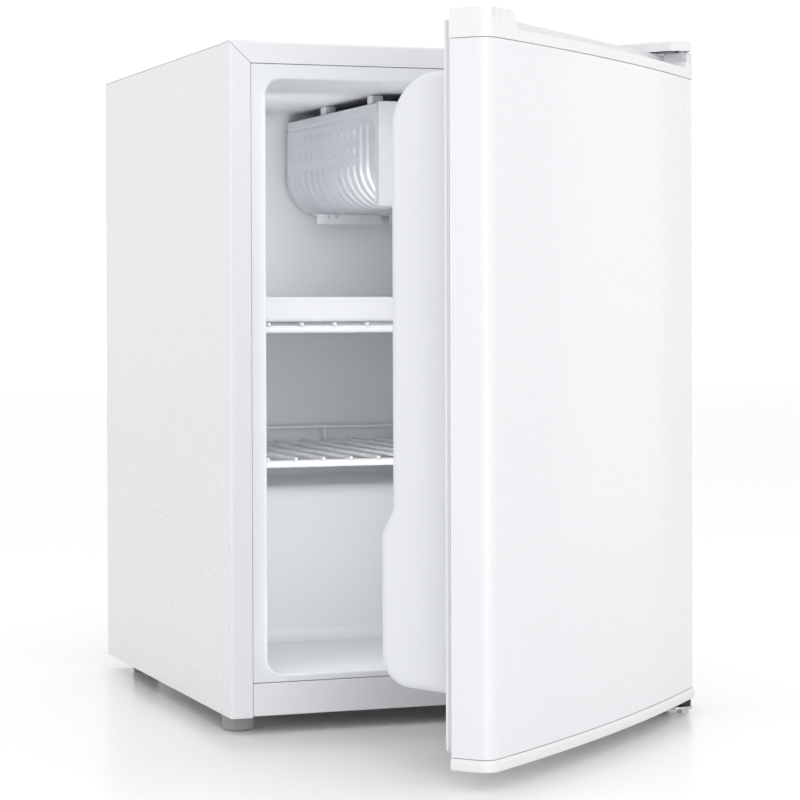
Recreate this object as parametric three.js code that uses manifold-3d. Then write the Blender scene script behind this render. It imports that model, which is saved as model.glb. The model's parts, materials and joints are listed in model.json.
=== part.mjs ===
// Compact refrigerator with a right-hinged door standing part open, a small freezer box with a flap,
// two wire shelves, a drip tray, and a compressor and condenser behind.
// Millimetres. X runs to the right across the front, Y to the back, Z up from the floor.
import * as THREE from "three";
import { mergeVertices } from "three/addons/utils/BufferGeometryUtils.js";
import Module from "manifold-3d";

const wasm = await Module();
wasm.setup();

// ---------------------------------------------------------------- driving dimensions

// Cabinet shell
const cabinetWidth = 450;
const cabinetDepth = 465;
const shellHeight = 608;
const footHeight = 15;
const sheet = 1;
const gap = 0.3;
const seam = 0.5;
const shellCorner = 2.5;
const sideFlange = 20.3;
const topFlange = 19.3;
const rearLip = 14;
const bottomRailHeight = 30.6;
const bottomRailReturn = 24;
const cornerHemLength = 27;
const cornerHemDepth = 22;
const cornerHemThickness = 0.8;
const backRecess = 16;

// Cold space
const sideWall = 34.9;
const ceilingWall = 33;
const floorWall = 35;
const backWall = 33;
const linerSheet = 1.5;
const cavityCorner = 15;
const sillDepth = 49;
const sillHeight = 3;
const stepDepth = 176;
const stepTop = 190;
const stepFoam = 25;
const shelfLedgeWidth = 9;
const shelfLedgeHeight = 7;
const shelfLedgeFront = 93;
const shelfLedgeRearGap = 6;
const linerFront = 0.4;

// Door
const doorOpenAngle = 42.37;
const hingeFromSide = 18.95;
const hingeFromFront = 37.03;
const doorEdgeToHinge = 18.7;
const doorSideGap = 0.2;
const doorBelowTop = 2;
const doorBack = 29.9;
const doorFrontEdge = 5;
const doorBow = 11.7;
const doorCorner = 11;
const topCapHeight = 23.7;
const topCapOverhang = 0.5;
const bottomCapHeight = 9.5;
const bottomCapOverhang = 1.8;
const capSeam = 0.4;
const panelLip = 6;
const gripBlockFree = 43;
const gripBlockHinge = 29;
const gripLipHeight = 8.8;
const gripLipThickness = 9;
const gripBackWall = 14;
const gripFloor = 4;
const gripRailDrop = 2.4;
const gasketThickness = 4.7;
const gasketWidth = 14;
const gasketMargin = 8;
const gasketHingeEdge = 3;
const gasketBottomMargin = 13;
const linerEdge = 3.6;
const linerEndMargin = 6;

// Door lining: the raised rim that reaches into the cold space, with its pockets
const rimSide = 40;
const rimDraft = 12.5;
const rimDepth = 112;
const rimDeepDepth = 123.5;
const rimTopMargin = 46;
const rimBottomMargin = 55;
const rimTopCorner = 45;
const rimBottomCorner = 27;
const rimStepHigh = 202;
const rimStepLow = 180;
const rimThickness = 16;
const pocketFloorDepth = 40;
const pocketBottomMargin = 76;
const pocketTopMargin = 18;
const pocketShelfDrops = [300, 157];
const pocketShelfThickness = 8;
const pocketShelfDepth = 104;
const railHeight = 26;
const railThickness = 3;
const railArm = 22;
const railAboveShelf = 12;
const railFromRim = 3;
const lowRailHeight = 128;

// Hinges
const pinDiameter = 8;
const pinClearance = 0.4;
const hingePlate = 2.5;
const hingeRise = 1.1;
const hingeCoverHeight = 8.8;
const hingeCoverWall = 1.5;
const lowerPlateDrop = 6.5;
const boltHeadHeight = 4.2;
const boltHeadAcross = 11;

// Freezer box
const freezerWidth = 220;
const freezerHeight = 98.5;
const freezerFront = 125;
const freezerRearGap = 12;
const freezerFromRight = 12;
const freezerFromCeiling = 9;
const freezerSheet = 2;
const freezerCorner = 40;
const freezerFrameThickness = 5.5;
const flapThickness = 5.7;
const flapBarrel = 3.5;
const flapHingeDrop = 3;
const earWidth = 4;
const bracketWidth = 71;
const bracketHeight = 10.5;
const bracketPositions = [16, 97];
const bracketFromBack = 54;
const hangerWidth = 12;
const hangerDepth = 14;
const hangerPositions = [14, 158];
const backPlateFromBack = 4;
const knobRadius = 17;
const knobThickness = 9;
const knobFromFreezerFront = 80;
const knobBelowFreezer = 43.5;
const housingDepth = 36;
const housingLength = 96;
const housingHeight = 52;

// Shelves and tray
const shelfFront = 82;
const shelfRearGap = 10;
const shelfSideGap = 5;
const upperShelfBelowFreezer = 122.3;
const lowerShelfAboveStep = 29;
const ledgeAboveShelfFoot = 0.7;
const shelfBarRadius = 3.5;
const shelfWireRadius = 1.75;
const upperWirePitch = 32.6;
const lowerWirePitch = 27.4;
const shelfRise = 14;
const trayHeight = 23.6;
const trayRim = 4;
const trayWall = 2;
const trayDraft = 6;
const trayFrontGap = 5;
const trayRearGap = 13;

// Cooling machinery
const bayBaseThickness = 2;
const compressorRadius = 62;
const compressorBody = 116;
const compressorX = 150;
const grommetHeight = 11;
const condenserRows = 9;
const condenserTube = 2.4;
const condenserWire = 0.8;
const condenserWires = 9;
const suctionRadius = 3;
const tubeClearance = 0.6;
const mountHalfX = 88;
const mountHalfY = 52;
const mountEdge = 12;
const relayLow = 50;
const relayHigh = 108;
const dischargeLow = 60;
const dischargeHigh = 152;
const drierLow = 40;
const drierHigh = 136;
const drierFromRight = 120;
const coilFromSide = 46;
const coilFromBack = 8;
const coilFromTop = 42;
const coilAboveBay = 30;
const clipFromCoilEnd = 30;
const glandFromRight = 62;
const glandHeight = 26;
const glandRadius = 7;

// Feet
const footX = 16;
const footY = 33;
const footRadius = 14.5;
const studRadius = 5;
const studHeight = 16;
const studRoom = 4;
const rearFootX = 32;
const rearFootFromBack = 36;
const rearFootRadius = 13;

// ---------------------------------------------------------------- derived places

const shellBottom = footHeight;
const shellTop = footHeight + shellHeight;
const cavityLeft = sideWall;
const cavityRight = cabinetWidth - sideWall;
const cavityBottom = shellBottom + floorWall;
const cavityTop = shellTop - ceilingWall;
const backPanelFront = cabinetDepth - backRecess;
const cavityBack = backPanelFront - backWall;
const stepWall = cavityBack - stepDepth;
const stepHeight = shellBottom + stepTop;
const bayFront = stepWall + stepFoam + linerSheet;
const bayTop = stepHeight - linerSheet - stepFoam;
const innerLeft = sheet + gap;
const innerRight = cabinetWidth - sheet - gap;
const plateBottom = shellBottom + sheet;
const hingeX = cabinetWidth - hingeFromSide;
const hingeY = -hingeFromFront;
const doorBottom = shellBottom;
const doorTop = shellTop - doorBelowTop;
const doorFree = cabinetWidth - doorEdgeToHinge - doorSideGap;
const freezerRight = cavityRight - freezerFromRight;
const freezerLeft = freezerRight - freezerWidth;
const freezerTop = cavityTop - freezerFromCeiling;
const freezerBottom = freezerTop - freezerHeight;
const freezerBack = cavityBack - freezerRearGap;
const flapBack = freezerFront - gap - freezerFrameThickness;
const flapAxisY = flapBack;
const flapAxisZ = freezerTop - flapHingeDrop;
const frameTop = flapAxisZ - flapBarrel - 3.5;
const knobY = freezerFront + knobFromFreezerFront;
const knobZ = freezerBottom - knobBelowFreezer;
const housingLeft = cavityRight - housingDepth;
const shelfLeft = cavityLeft + shelfSideGap;
const shelfRight = cavityRight - shelfSideGap;
const shelfBack = cavityBack - shelfRearGap;
const upperShelfFoot = freezerBottom - upperShelfBelowFreezer;
const lowerShelfFoot = stepHeight + lowerShelfAboveStep;
const topCapBottom = doorTop - topCapHeight;
const bottomCapTop = doorBottom + bottomCapHeight;
const linerBack = doorBack + gap + linerSheet;
const rimTop = shellTop - rimTopMargin;
const rimBottom = shellBottom + rimBottomMargin;
const pocketNear = -doorEdgeToHinge + rimSide + rimDraft + rimThickness;
const pocketFar = doorFree - rimSide - rimDraft - rimThickness;
const pocketShelfLevels = pocketShelfDrops.map((drop) => rimTop - drop);
const baseTop = plateBottom + bayBaseThickness;
const compressorY = (bayFront + cabinetDepth) / 2 + 2;
const mountPlaces = [-1, 1].flatMap((i) => [-1, 1].map((j) =>
  [compressorX + i * (mountHalfX - mountEdge), compressorY + j * (mountHalfY - mountEdge)]));
const glandX = cabinetWidth - glandFromRight;
const glandZ = baseTop + glandHeight;
const coilY = cabinetDepth - coilFromBack;
const coilLeft = coilFromSide;
const coilRight = cabinetWidth - coilFromSide;
const coilTop = shellTop - coilFromTop;
const coilBottom = bayTop + coilAboveBay;
const mitreSlope = topFlange / sideFlange;

// ---------------------------------------------------------------- materials

const paint = (color, roughness, metalness = 0) =>
  new THREE.MeshStandardMaterial({ color, roughness, metalness });
const whiteSteel = paint(0xf0f1f3, 0.35);
const whitePlastic = paint(0xeceef0, 0.4);
const linerPlastic = paint(0xe6e9ec, 0.45);
const greyPlastic = paint(0xb9bcbe, 0.55);
const foamMaterial = paint(0xe8d9a8, 0.9);
const aluminium = paint(0xb8bdc1, 0.4, 0.8);
const zinc = paint(0xb5b8ba, 0.35, 0.9);
const blackSteel = paint(0x1d1e20, 0.45, 0.3);
const blackPlastic = paint(0x202124, 0.6);
const rubber = paint(0x2a2a2c, 0.85);
const copper = paint(0xb5703f, 0.35, 0.9);
const sealMaterial = paint(0xf2f3f4, 0.6);
const coatedWire = paint(0xf4f5f6, 0.35);

// ---------------------------------------------------------------- solid-making helpers

const X = new THREE.Vector3(1, 0, 0);
const Y = new THREE.Vector3(0, 1, 0);
const Z = new THREE.Vector3(0, 0, 1);

// A closed three.js geometry as a solid whose faces point outwards.
function solidOf(geometry) {
  const bare = geometry.index ? geometry.toNonIndexed() : geometry.clone();
  bare.deleteAttribute("normal");
  bare.deleteAttribute("uv");
  const merged = mergeVertices(bare, 1e-4);
  const triVerts = new Uint32Array(merged.index.array);
  const vertProperties = merged.attributes.position.array;
  const made = new wasm.Manifold(new wasm.Mesh({ numProp: 3, vertProperties, triVerts }));
  if (made.volume() >= 0) return made;
  for (let i = 0; i < triVerts.length; i += 3) {
    [triVerts[i], triVerts[i + 1]] = [triVerts[i + 1], triVerts[i]];
  }
  return new wasm.Manifold(new wasm.Mesh({ numProp: 3, vertProperties, triVerts }));
}

function geometryOf(solid) {
  const mesh = solid.getMesh();
  const positions = new Float32Array(mesh.numVert * 3);
  for (let i = 0; i < mesh.numVert; i += 1) {
    const start = i * mesh.numProp;
    positions.set(mesh.vertProperties.subarray(start, start + 3), i * 3);
  }
  const geometry = new THREE.BufferGeometry();
  geometry.setAttribute("position", new THREE.BufferAttribute(positions, 3));
  geometry.setIndex(new THREE.BufferAttribute(new Uint32Array(mesh.triVerts), 1));
  geometry.computeVertexNormals();
  return geometry;
}

const joined = (...solids) => solids.reduce((whole, piece) => whole.add(piece));

function block(x0, x1, y0, y1, z0, z1) {
  const geometry = new THREE.BoxGeometry(x1 - x0, y1 - y0, z1 - z0);
  geometry.translate((x0 + x1) / 2, (y0 + y1) / 2, (z0 + z1) / 2);
  return solidOf(geometry);
}

// Corner points [a, b, radius] become an outline whose corners are rounded where a radius is given.
function rounded(corners, steps = 5) {
  const points = [];
  corners.forEach(([a, b, radius = 0], i) => {
    const corner = new THREE.Vector2(a, b);
    if (!radius) {
      points.push(corner);
      return;
    }
    const [pa, pb] = corners.at(i - 1);
    const [na, nb] = corners[(i + 1) % corners.length];
    const back = new THREE.Vector2(pa, pb).sub(corner).normalize();
    const ahead = new THREE.Vector2(na, nb).sub(corner).normalize();
    const half = Math.acos(THREE.MathUtils.clamp(back.dot(ahead), -1, 1)) / 2;
    const middle = back.clone().add(ahead).normalize();
    const centre = corner.clone().addScaledVector(middle, radius / Math.sin(half));
    const start = corner.clone().addScaledVector(back, radius / Math.tan(half)).sub(centre);
    const end = corner.clone().addScaledVector(ahead, radius / Math.tan(half)).sub(centre);
    const turn = Math.atan2(start.cross(end), start.dot(end));
    for (let step = 0; step <= steps; step += 1) {
      points.push(start.clone().rotateAround(new THREE.Vector2(), (turn * step) / steps).add(centre));
    }
  });
  return points;
}

// Outline planes: the outline's two axes, then the axis it is pushed along.
const planes = { xy: [X, Y, Z], yz: [Y, Z, X], xz: [X, Z, Y.clone().negate()] };

function extruded(plane, points, from, to) {
  const depth = to - from;
  const geometry = new THREE.ExtrudeGeometry(new THREE.Shape(points), { depth, bevelEnabled: false });
  geometry.applyMatrix4(new THREE.Matrix4().makeBasis(...planes[plane]));
  if (plane === "xz") geometry.translate(0, to, 0);
  if (plane === "xy") geometry.translate(0, 0, from);
  if (plane === "yz") geometry.translate(from, 0, 0);
  return solidOf(geometry);
}

const rectangle = (a0, a1, b0, b1, radius = 0) =>
  rounded([[a0, b0, radius], [a1, b0, radius], [a1, b1, radius], [a0, b1, radius]]);

function rod(from, to, radius, sides = 12) {
  const start = new THREE.Vector3(...from);
  const span = new THREE.Vector3(...to).sub(start);
  const geometry = new THREE.CylinderGeometry(radius, radius, span.length(), sides);
  geometry.applyQuaternion(new THREE.Quaternion().setFromUnitVectors(Y, span.clone().normalize()));
  geometry.translate(...start.addScaledVector(span, 0.5).toArray());
  return solidOf(geometry);
}

// A round tube along a smooth curve through the points, closed at both ends.
function tube(points, radius, steps, sides = 8) {
  const curve = new THREE.CatmullRomCurve3(points.map((p) => new THREE.Vector3(...p)));
  const ring = [];
  for (let i = 0; i < sides; i += 1) {
    const angle = (2 * Math.PI * i) / sides;
    ring.push(new THREE.Vector2(radius * Math.cos(angle), radius * Math.sin(angle)));
  }
  const options = { steps, extrudePath: curve, bevelEnabled: false };
  return solidOf(new THREE.ExtrudeGeometry(new THREE.Shape(ring), options));
}

// A profile of [radius, height] points, from axis to axis, turned about a vertical axis at x, y.
function turned(x, y, profile, sides = 24) {
  const geometry = new THREE.LatheGeometry(profile.map((p) => new THREE.Vector2(...p)), sides);
  geometry.rotateX(Math.PI / 2);
  geometry.translate(x, y, 0);
  return solidOf(geometry);
}

const appliance = new THREE.Group();
const door = new THREE.Group();
door.position.set(hingeX, hingeY, 0);
door.rotation.z = Math.PI + THREE.MathUtils.degToRad(doorOpenAngle);
appliance.add(door);

function place(name, solid, material, group = appliance) {
  const mesh = new THREE.Mesh(geometryOf(solid), material);
  mesh.name = name;
  group.add(mesh);
}

// ---------------------------------------------------------------- cabinet shell

// Everything above the mitre line of the left front corner, lowered by a distance.
function aboveMitre(lowered, back) {
  const far = sideFlange + 2;
  const outline = [[-1, shellTop + 3], [-1, shellTop + mitreSlope - lowered]];
  outline.push([far, shellTop - mitreSlope * far - lowered], [far, shellTop + 3]);
  return extruded("xz", rounded(outline), -1, back);
}

function leftSidePanel() {
  const profile = rounded([
    [0, cabinetDepth],
    [0, 0, shellCorner],
    [sideFlange, 0],
    [sideFlange, sheet],
    [sheet, sheet],
    [sheet, cabinetDepth - sheet],
    [rearLip, cabinetDepth - sheet],
    [rearLip, cabinetDepth],
  ]);
  const topCut = block(-1, rearLip + 1, sheet, cabinetDepth + 1, shellTop - sheet - gap, shellTop + 1);
  return extruded("xy", profile, shellBottom, shellTop)
    .subtract(aboveMitre(seam / 2, sheet + 1))
    .subtract(topCut);
}

// The same piece on the other side of the cabinet.
function mirroredAcross(solid) {
  const geometry = geometryOf(solid);
  geometry.scale(-1, 1, 1);
  geometry.translate(cabinetWidth, 0, 0);
  return solidOf(geometry);
}

function topPanel() {
  const profile = rounded([
    [cabinetDepth, shellTop],
    [0, shellTop, shellCorner],
    [0, shellTop - topFlange],
    [sheet, shellTop - topFlange],
    [sheet, shellTop - sheet],
    [cabinetDepth, shellTop - sheet],
  ]);
  const lipLeft = rearLip + gap;
  const lip = block(
    lipLeft, cabinetWidth - lipLeft,
    cabinetDepth - sheet, cabinetDepth,
    shellTop - rearLip, shellTop - sheet / 2,
  );
  const hemTop = shellTop + cornerHemThickness;
  const hem = extruded("xz", rounded([
    [0, shellTop - sheet / 2],
    [cornerHemLength + 2, shellTop - sheet / 2],
    [cornerHemLength, hemTop],
    [0, hemTop],
  ]), shellCorner, cornerHemDepth);
  const flangeEnd = block(-1, sideFlange + 1, -1, sheet + gap / 2, shellTop - topFlange - 1, shellTop + 3);
  const cornerCut = flangeEnd.subtract(aboveMitre(-seam / 2, sheet + 1));
  return joined(extruded("yz", profile, 0, cabinetWidth), lip, hem, mirroredAcross(hem))
    .subtract(cornerCut)
    .subtract(mirroredAcross(cornerCut));
}

function bottomFrontRail() {
  const low = plateBottom;
  const high = shellBottom + bottomRailHeight;
  const profile = rounded([
    [0, high],
    [0, low, 1.5],
    [bottomRailReturn, low],
    [bottomRailReturn, low + sheet],
    [sheet, low + sheet],
    [sheet, high],
  ]);
  return extruded("yz", profile, sideFlange + seam, cabinetWidth - sideFlange - seam);
}

function footStudHoles(top) {
  const holes = [footX, cabinetWidth - footX].map((x) =>
    rod([x, footY, 0], [x, footY, top], studRadius + 1, 24));
  return joined(...holes);
}

function bottomPlate() {
  const front = bottomRailReturn + gap;
  return block(innerLeft, innerRight, front, bayFront, plateBottom, plateBottom + sheet)
    .subtract(footStudHoles(shellTop / 2));
}

function backPanel() {
  const sides = [innerLeft, innerRight];
  return block(...sides, backPanelFront, backPanelFront + sheet, bayTop + gap, shellTop - sheet - gap);
}

function bayDivider() {
  const low = plateBottom + sheet + gap;
  const back = backPanelFront - gap;
  const profile = rounded([
    [bayFront, low],
    [bayFront + sheet, low],
    [bayFront + sheet, bayTop - sheet],
    [back, bayTop - sheet],
    [back, bayTop],
    [bayFront, bayTop],
  ]);
  return extruded("yz", profile, innerLeft, innerRight).subtract(suctionTube(tubeClearance));
}

// ---------------------------------------------------------------- cold space

// The room inside the lining, grown on every side by a wall's thickness.
function coldSpace(grow) {
  const front = rectangle(
    cavityLeft - grow, cavityRight + grow,
    cavityBottom - grow, cavityTop + grow,
    cavityCorner + grow,
  );
  const side = rounded([
    [-5, cavityTop + grow],
    [-5, cavityBottom + sillHeight - grow],
    [sillDepth, cavityBottom + sillHeight - grow, 10],
    [sillDepth + 9, cavityBottom - grow],
    [stepWall + grow, cavityBottom - grow, 12],
    [stepWall + 3 + grow, stepHeight - grow, 14],
    [cavityBack + grow, stepHeight - grow, 12],
    [cavityBack + grow, cavityTop + grow, 22],
  ]);
  const across = extruded("yz", side, cavityLeft - grow - 1, cavityRight + grow + 1);
  return extruded("xz", front, -4, cavityBack + grow + 1).intersect(across);
}

function shelfLedges() {
  const ends = [[cavityLeft - 0.5, cavityLeft + shelfLedgeWidth]];
  ends.push([cavityRight - shelfLedgeWidth, cavityRight + 0.5]);
  const back = cavityBack - shelfLedgeRearGap;
  const solids = ends.flatMap(([x0, x1]) =>
    [upperShelfFoot, lowerShelfFoot].map((foot) => {
      const top = foot + ledgeAboveShelfFoot;
      return block(x0, x1, shelfLedgeFront, back, top - shelfLedgeHeight, top);
    }));
  return joined(...solids);
}

// The suction tube leaves the compressor's shoulder, climbs in the back wall and turns in to the freezer.
const tubeInWallY = (cavityBack + backPanelFront) / 2;
const suctionPath = [
  [compressorX + 45, compressorY - 37.75, shellBottom + 120],
  [compressorX + 62, compressorY - 37.75, shellBottom + 135],
  [compressorX + 80, compressorY + 12.25, shellBottom + 140],
  [compressorX + 90, tubeInWallY - 7.5, shellBottom + 142],
  [compressorX + 92, tubeInWallY, shellBottom + 165],
  [compressorX + 92, tubeInWallY, stepHeight + 30],
  [compressorX + 92, tubeInWallY, freezerBottom - 30],
  [compressorX + 92, tubeInWallY, freezerBottom + 20],
  [compressorX + 92, tubeInWallY - 4.5, freezerBottom + 45],
  [compressorX + 92, freezerBack + gap, freezerBottom + 50],
];

const suctionTube = (grow) => tube(suctionPath, suctionRadius + grow, 34);

function innerLiner() {
  const flange = block(
    sideFlange + seam, cabinetWidth - sideFlange - seam,
    linerFront, linerFront + linerSheet,
    shellBottom + bottomRailHeight + seam, shellTop - topFlange - seam,
  );
  const frontCut = block(0, cabinetWidth, -10, linerFront, 0, shellTop);
  return joined(coldSpace(linerSheet).subtract(frontCut), flange)
    .subtract(coldSpace(0))
    .add(shelfLedges())
    .subtract(suctionTube(tubeClearance));
}

function cabinetFoam() {
  const front = linerFront + linerSheet + gap;
  const low = plateBottom + sheet + gap;
  const bay = block(0, cabinetWidth, bayFront - gap, cabinetDepth, 0, bayTop + gap);
  return block(innerLeft, innerRight, front, backPanelFront - gap, low, shellTop - sheet - gap)
    .subtract(coldSpace(linerSheet + gap))
    .subtract(bay)
    .subtract(footStudHoles(plateBottom + studHeight + studRoom))
    .subtract(suctionTube(tubeClearance));
}

// ---------------------------------------------------------------- freezer box

const freezerOutline = (inset, top = freezerTop) => rounded([
  [freezerLeft + inset, top - inset],
  [freezerLeft + inset, freezerBottom + inset, freezerCorner - inset],
  [freezerRight - inset, freezerBottom + inset, freezerCorner - inset],
  [freezerRight - inset, top - inset],
], 7);

function evaporator() {
  const inside = extruded("xz", freezerOutline(freezerSheet), freezerFront - 1, freezerBack + 1);
  return extruded("xz", freezerOutline(0), freezerFront, freezerBack).subtract(inside);
}

function freezerBackPlate() {
  const back = freezerBack - backPlateFromBack;
  return extruded("xz", freezerOutline(freezerSheet + gap), back - freezerSheet, back);
}

function freezerFrontFrame() {
  const back = freezerFront - gap;
  const front = back - freezerFrameThickness + 0.5;
  const plate = block(freezerLeft, freezerRight, front, back, freezerBottom - 1, frameTop);
  const mouth = extruded("xz", freezerOutline(freezerSheet + 3, frameTop - 1), front - 1, back + 1);
  const ears = [freezerLeft, freezerRight - earWidth].map((x) =>
    joined(
      block(x, x + earWidth, flapAxisY + 0.5, back, frameTop - 5, flapAxisZ + 2),
      rod([x, flapAxisY, flapAxisZ], [x + earWidth, flapAxisY, flapAxisZ], flapBarrel + 0.25, 16),
    ));
  const bore = rod([0, flapAxisY, flapAxisZ], [cabinetWidth, flapAxisY, flapAxisZ], 2, 16);
  return joined(plate.subtract(mouth), ...ears).subtract(bore);
}

function freezerFlap() {
  const left = freezerLeft;
  const right = freezerRight;
  const front = flapBack - flapThickness;
  const inner = earWidth + 0.6;
  const plate = block(left, right, front, flapBack, freezerBottom - 1, freezerTop + 1.5);
  const notch = (x0, x1) => block(x0, x1, front - 1, flapBack + 1, frameTop - 1, shellTop);
  const bar = (inset, radius, sides) =>
    rod([left + inset, flapAxisY, flapAxisZ], [right - inset, flapAxisY, flapAxisZ], radius, sides);
  const rail = block(left + inner, right - inner, flapBack - 1, flapBack + 0.3, frameTop + 2, flapAxisZ);
  return plate
    .subtract(notch(left - 1, left + inner))
    .subtract(notch(right - inner, right + 1))
    .add(joined(bar(inner, flapBarrel, 16), bar(1, 1.5, 12), rail));
}

function freezerHanger(x, y) {
  return block(x, x + hangerWidth, y, y + hangerDepth, freezerTop + gap, cavityTop - gap);
}

function evaporatorBracket(fromLeft) {
  const x = freezerLeft + fromLeft;
  const y = freezerBack - bracketFromBack;
  const high = freezerBottom - gap;
  const holes = [12, 21, 50, 59].map((along) =>
    rod([x + along, y - 5, high - 3], [x + along, y + 5, high - 3], 1.5, 8));
  const plate = block(x, x + bracketWidth, y, y + 1.5, high - bracketHeight, high);
  const foot = block(x, x + bracketWidth, y, y + 9, high - 1.2, high);
  return joined(plate, foot).subtract(joined(...holes));
}

function thermostatHousing() {
  const outline = rectangle(
    knobY - housingLength / 2, knobY + housingLength / 2,
    knobZ - housingHeight / 2, knobZ + housingHeight / 2,
    8,
  );
  return extruded("yz", outline, housingLeft, cavityRight - gap)
    .subtract(rod([housingLeft - 1, knobY, knobZ], [housingLeft + 12, knobY, knobZ], 3.6, 16));
}

function thermostatKnob() {
  const face = housingLeft - 0.6;
  const front = face - knobThickness;
  const gripReach = knobRadius - 3;
  const dial = rod([front, knobY, knobZ], [face, knobY, knobZ], knobRadius, 24);
  const grip = block(front - 6, front + 1, knobY - 2.5, knobY + 2.5, knobZ - gripReach, knobZ + gripReach);
  const shaft = rod([face - 1, knobY, knobZ], [face + 10, knobY, knobZ], 3, 12);
  return joined(dial, grip, shaft);
}

// ---------------------------------------------------------------- shelves and drip tray

function wireShelf(height, pitch) {
  const barZ = height + shelfBarRadius;
  const barY = shelfFront + shelfBarRadius;
  const wireZ = height + 2 * shelfBarRadius + shelfWireRadius * 0.6;
  const sideRadius = 2.6;
  const sideZ = height + 1 + sideRadius;
  const middle = (shelfLeft + shelfRight) / 2;
  const count = Math.floor((shelfRight - shelfLeft - 14) / 2 / pitch);
  const pieces = [rod([shelfLeft, barY, barZ], [shelfRight, barY, barZ], shelfBarRadius, 10)];
  [shelfLeft + sideRadius, shelfRight - sideRadius].forEach((x) => {
    pieces.push(rod([x, barY, sideZ], [x, shelfBack, sideZ], sideRadius, 8));
  });
  const rearZ = wireZ - 1.5 * shelfWireRadius - 1;
  pieces.push(rod([shelfLeft, shelfBack - 4, rearZ], [shelfRight, shelfBack - 4, rearZ], 2.4, 8));
  const stopZ = wireZ + shelfRise;
  pieces.push(rod([shelfLeft + 6, shelfBack, stopZ], [shelfRight - 6, shelfBack, stopZ], shelfWireRadius, 6));
  for (let i = -count; i <= count; i += 1) {
    const x = middle + i * pitch;
    pieces.push(rod([x, shelfFront - 2.5, wireZ], [x, shelfBack + 1, wireZ], shelfWireRadius, 6));
    if (i % 3 === 0) {
      pieces.push(rod([x, shelfBack, wireZ], [x, shelfBack, stopZ], shelfWireRadius, 6));
    }
  }
  return joined(...pieces);
}

function dripTray() {
  const front = shelfFront + trayFrontGap;
  const back = shelfBack - trayRearGap;
  const low = upperShelfFoot + 2 * shelfBarRadius + 1.6 * shelfWireRadius + gap;
  const high = low + trayHeight;
  const left = shelfLeft;
  const right = shelfRight;
  const bowl = (inset) => extruded("xz", rounded([
    [left + inset, high + (inset ? 1 : 0)],
    [left + trayDraft + inset, low + inset, 7],
    [right - trayDraft - inset, low + inset, 7],
    [right - inset, high + (inset ? 1 : 0)],
  ]), front + inset, back - inset);
  const rim = block(left - 0.5, right + 0.5, front - 2, back + 2, high - trayRim, high);
  return joined(bowl(0), rim).subtract(bowl(trayWall));
}

// ---------------------------------------------------------------- door

// The door's outline from above, u from the hinge axis to the free edge, v outwards.
function doorOutline(inset) {
  const near = -doorEdgeToHinge + inset;
  const far = doorFree - inset;
  const middle = (near + far) / 2;
  const half = (doorFree + doorEdgeToHinge) / 2;
  const front = (u) => doorFrontEdge + doorBow * (1 - ((u - middle) / half) ** 2) - inset;
  const points = [[far, -doorBack], [far, front(far), doorCorner - inset]];
  const stations = 18;
  for (let i = 1; i < stations; i += 1) {
    const u = far + ((near - far) * i) / stations;
    points.push([u, front(u)]);
  }
  points.push([near, front(near), doorCorner - inset], [near, -doorBack]);
  return rounded(points);
}

// The narrow lips that the outer panel turns in at the back of both door edges, or the room they need.
function panelLips(grow) {
  const low = bottomCapTop + capSeam - grow;
  const high = topCapBottom - capSeam + grow;
  const front = -doorBack + sheet + grow;
  const reach = panelLip + grow;
  return joined(
    block(-doorEdgeToHinge + sheet / 2, -doorEdgeToHinge + reach, -doorBack - grow, front, low, high),
    block(doorFree - reach, doorFree - sheet / 2, -doorBack - grow, front, low, high),
  );
}

function doorOuterPanel() {
  const low = bottomCapTop + capSeam;
  const high = topCapBottom - capSeam;
  const inside = extruded("xy", doorOutline(sheet), low - 1, high + 1);
  return extruded("xy", doorOutline(0), low, high).subtract(inside).add(panelLips(0));
}

function pinHole(z0, z1) {
  return rod([0, 0, z0], [0, 0, z1], pinDiameter / 2 + pinClearance, 24);
}

function doorTopCap() {
  const scoopLeft = -doorEdgeToHinge + gripBlockHinge;
  const scoopRight = doorFree - gripBlockFree;
  const lipTop = topCapBottom + gripLipHeight;
  const flare = topCapHeight - gripLipHeight;
  const opening = extruded("xz", rounded([
    [scoopLeft, lipTop, 9],
    [scoopRight, lipTop, 9],
    [scoopRight + flare * 0.35, doorTop + 1],
    [scoopLeft - flare * 0.35, doorTop + 1],
  ]), -gripBackWall, doorFrontEdge + doorBow + 5);
  const pocketFront = doorFrontEdge - gripLipThickness;
  const pocket = block(
    scoopLeft + 4, scoopRight - 4,
    -gripBackWall, pocketFront + 4,
    topCapBottom + gripFloor, doorTop + 1,
  );
  const railTop = doorTop - gripRailDrop;
  const railCut = block(scoopLeft, scoopRight, -doorBack - 1, -gripBackWall + 1, railTop, doorTop + 1);
  return extruded("xy", doorOutline(-topCapOverhang), topCapBottom, doorTop)
    .subtract(joined(opening, pocket, railCut))
    .subtract(pinHole(topCapBottom + 6, doorTop + 1));
}

function doorBottomCap() {
  return extruded("xy", doorOutline(-bottomCapOverhang), doorBottom, bottomCapTop)
    .subtract(pinHole(doorBottom - 1, bottomCapTop - 1));
}

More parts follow.
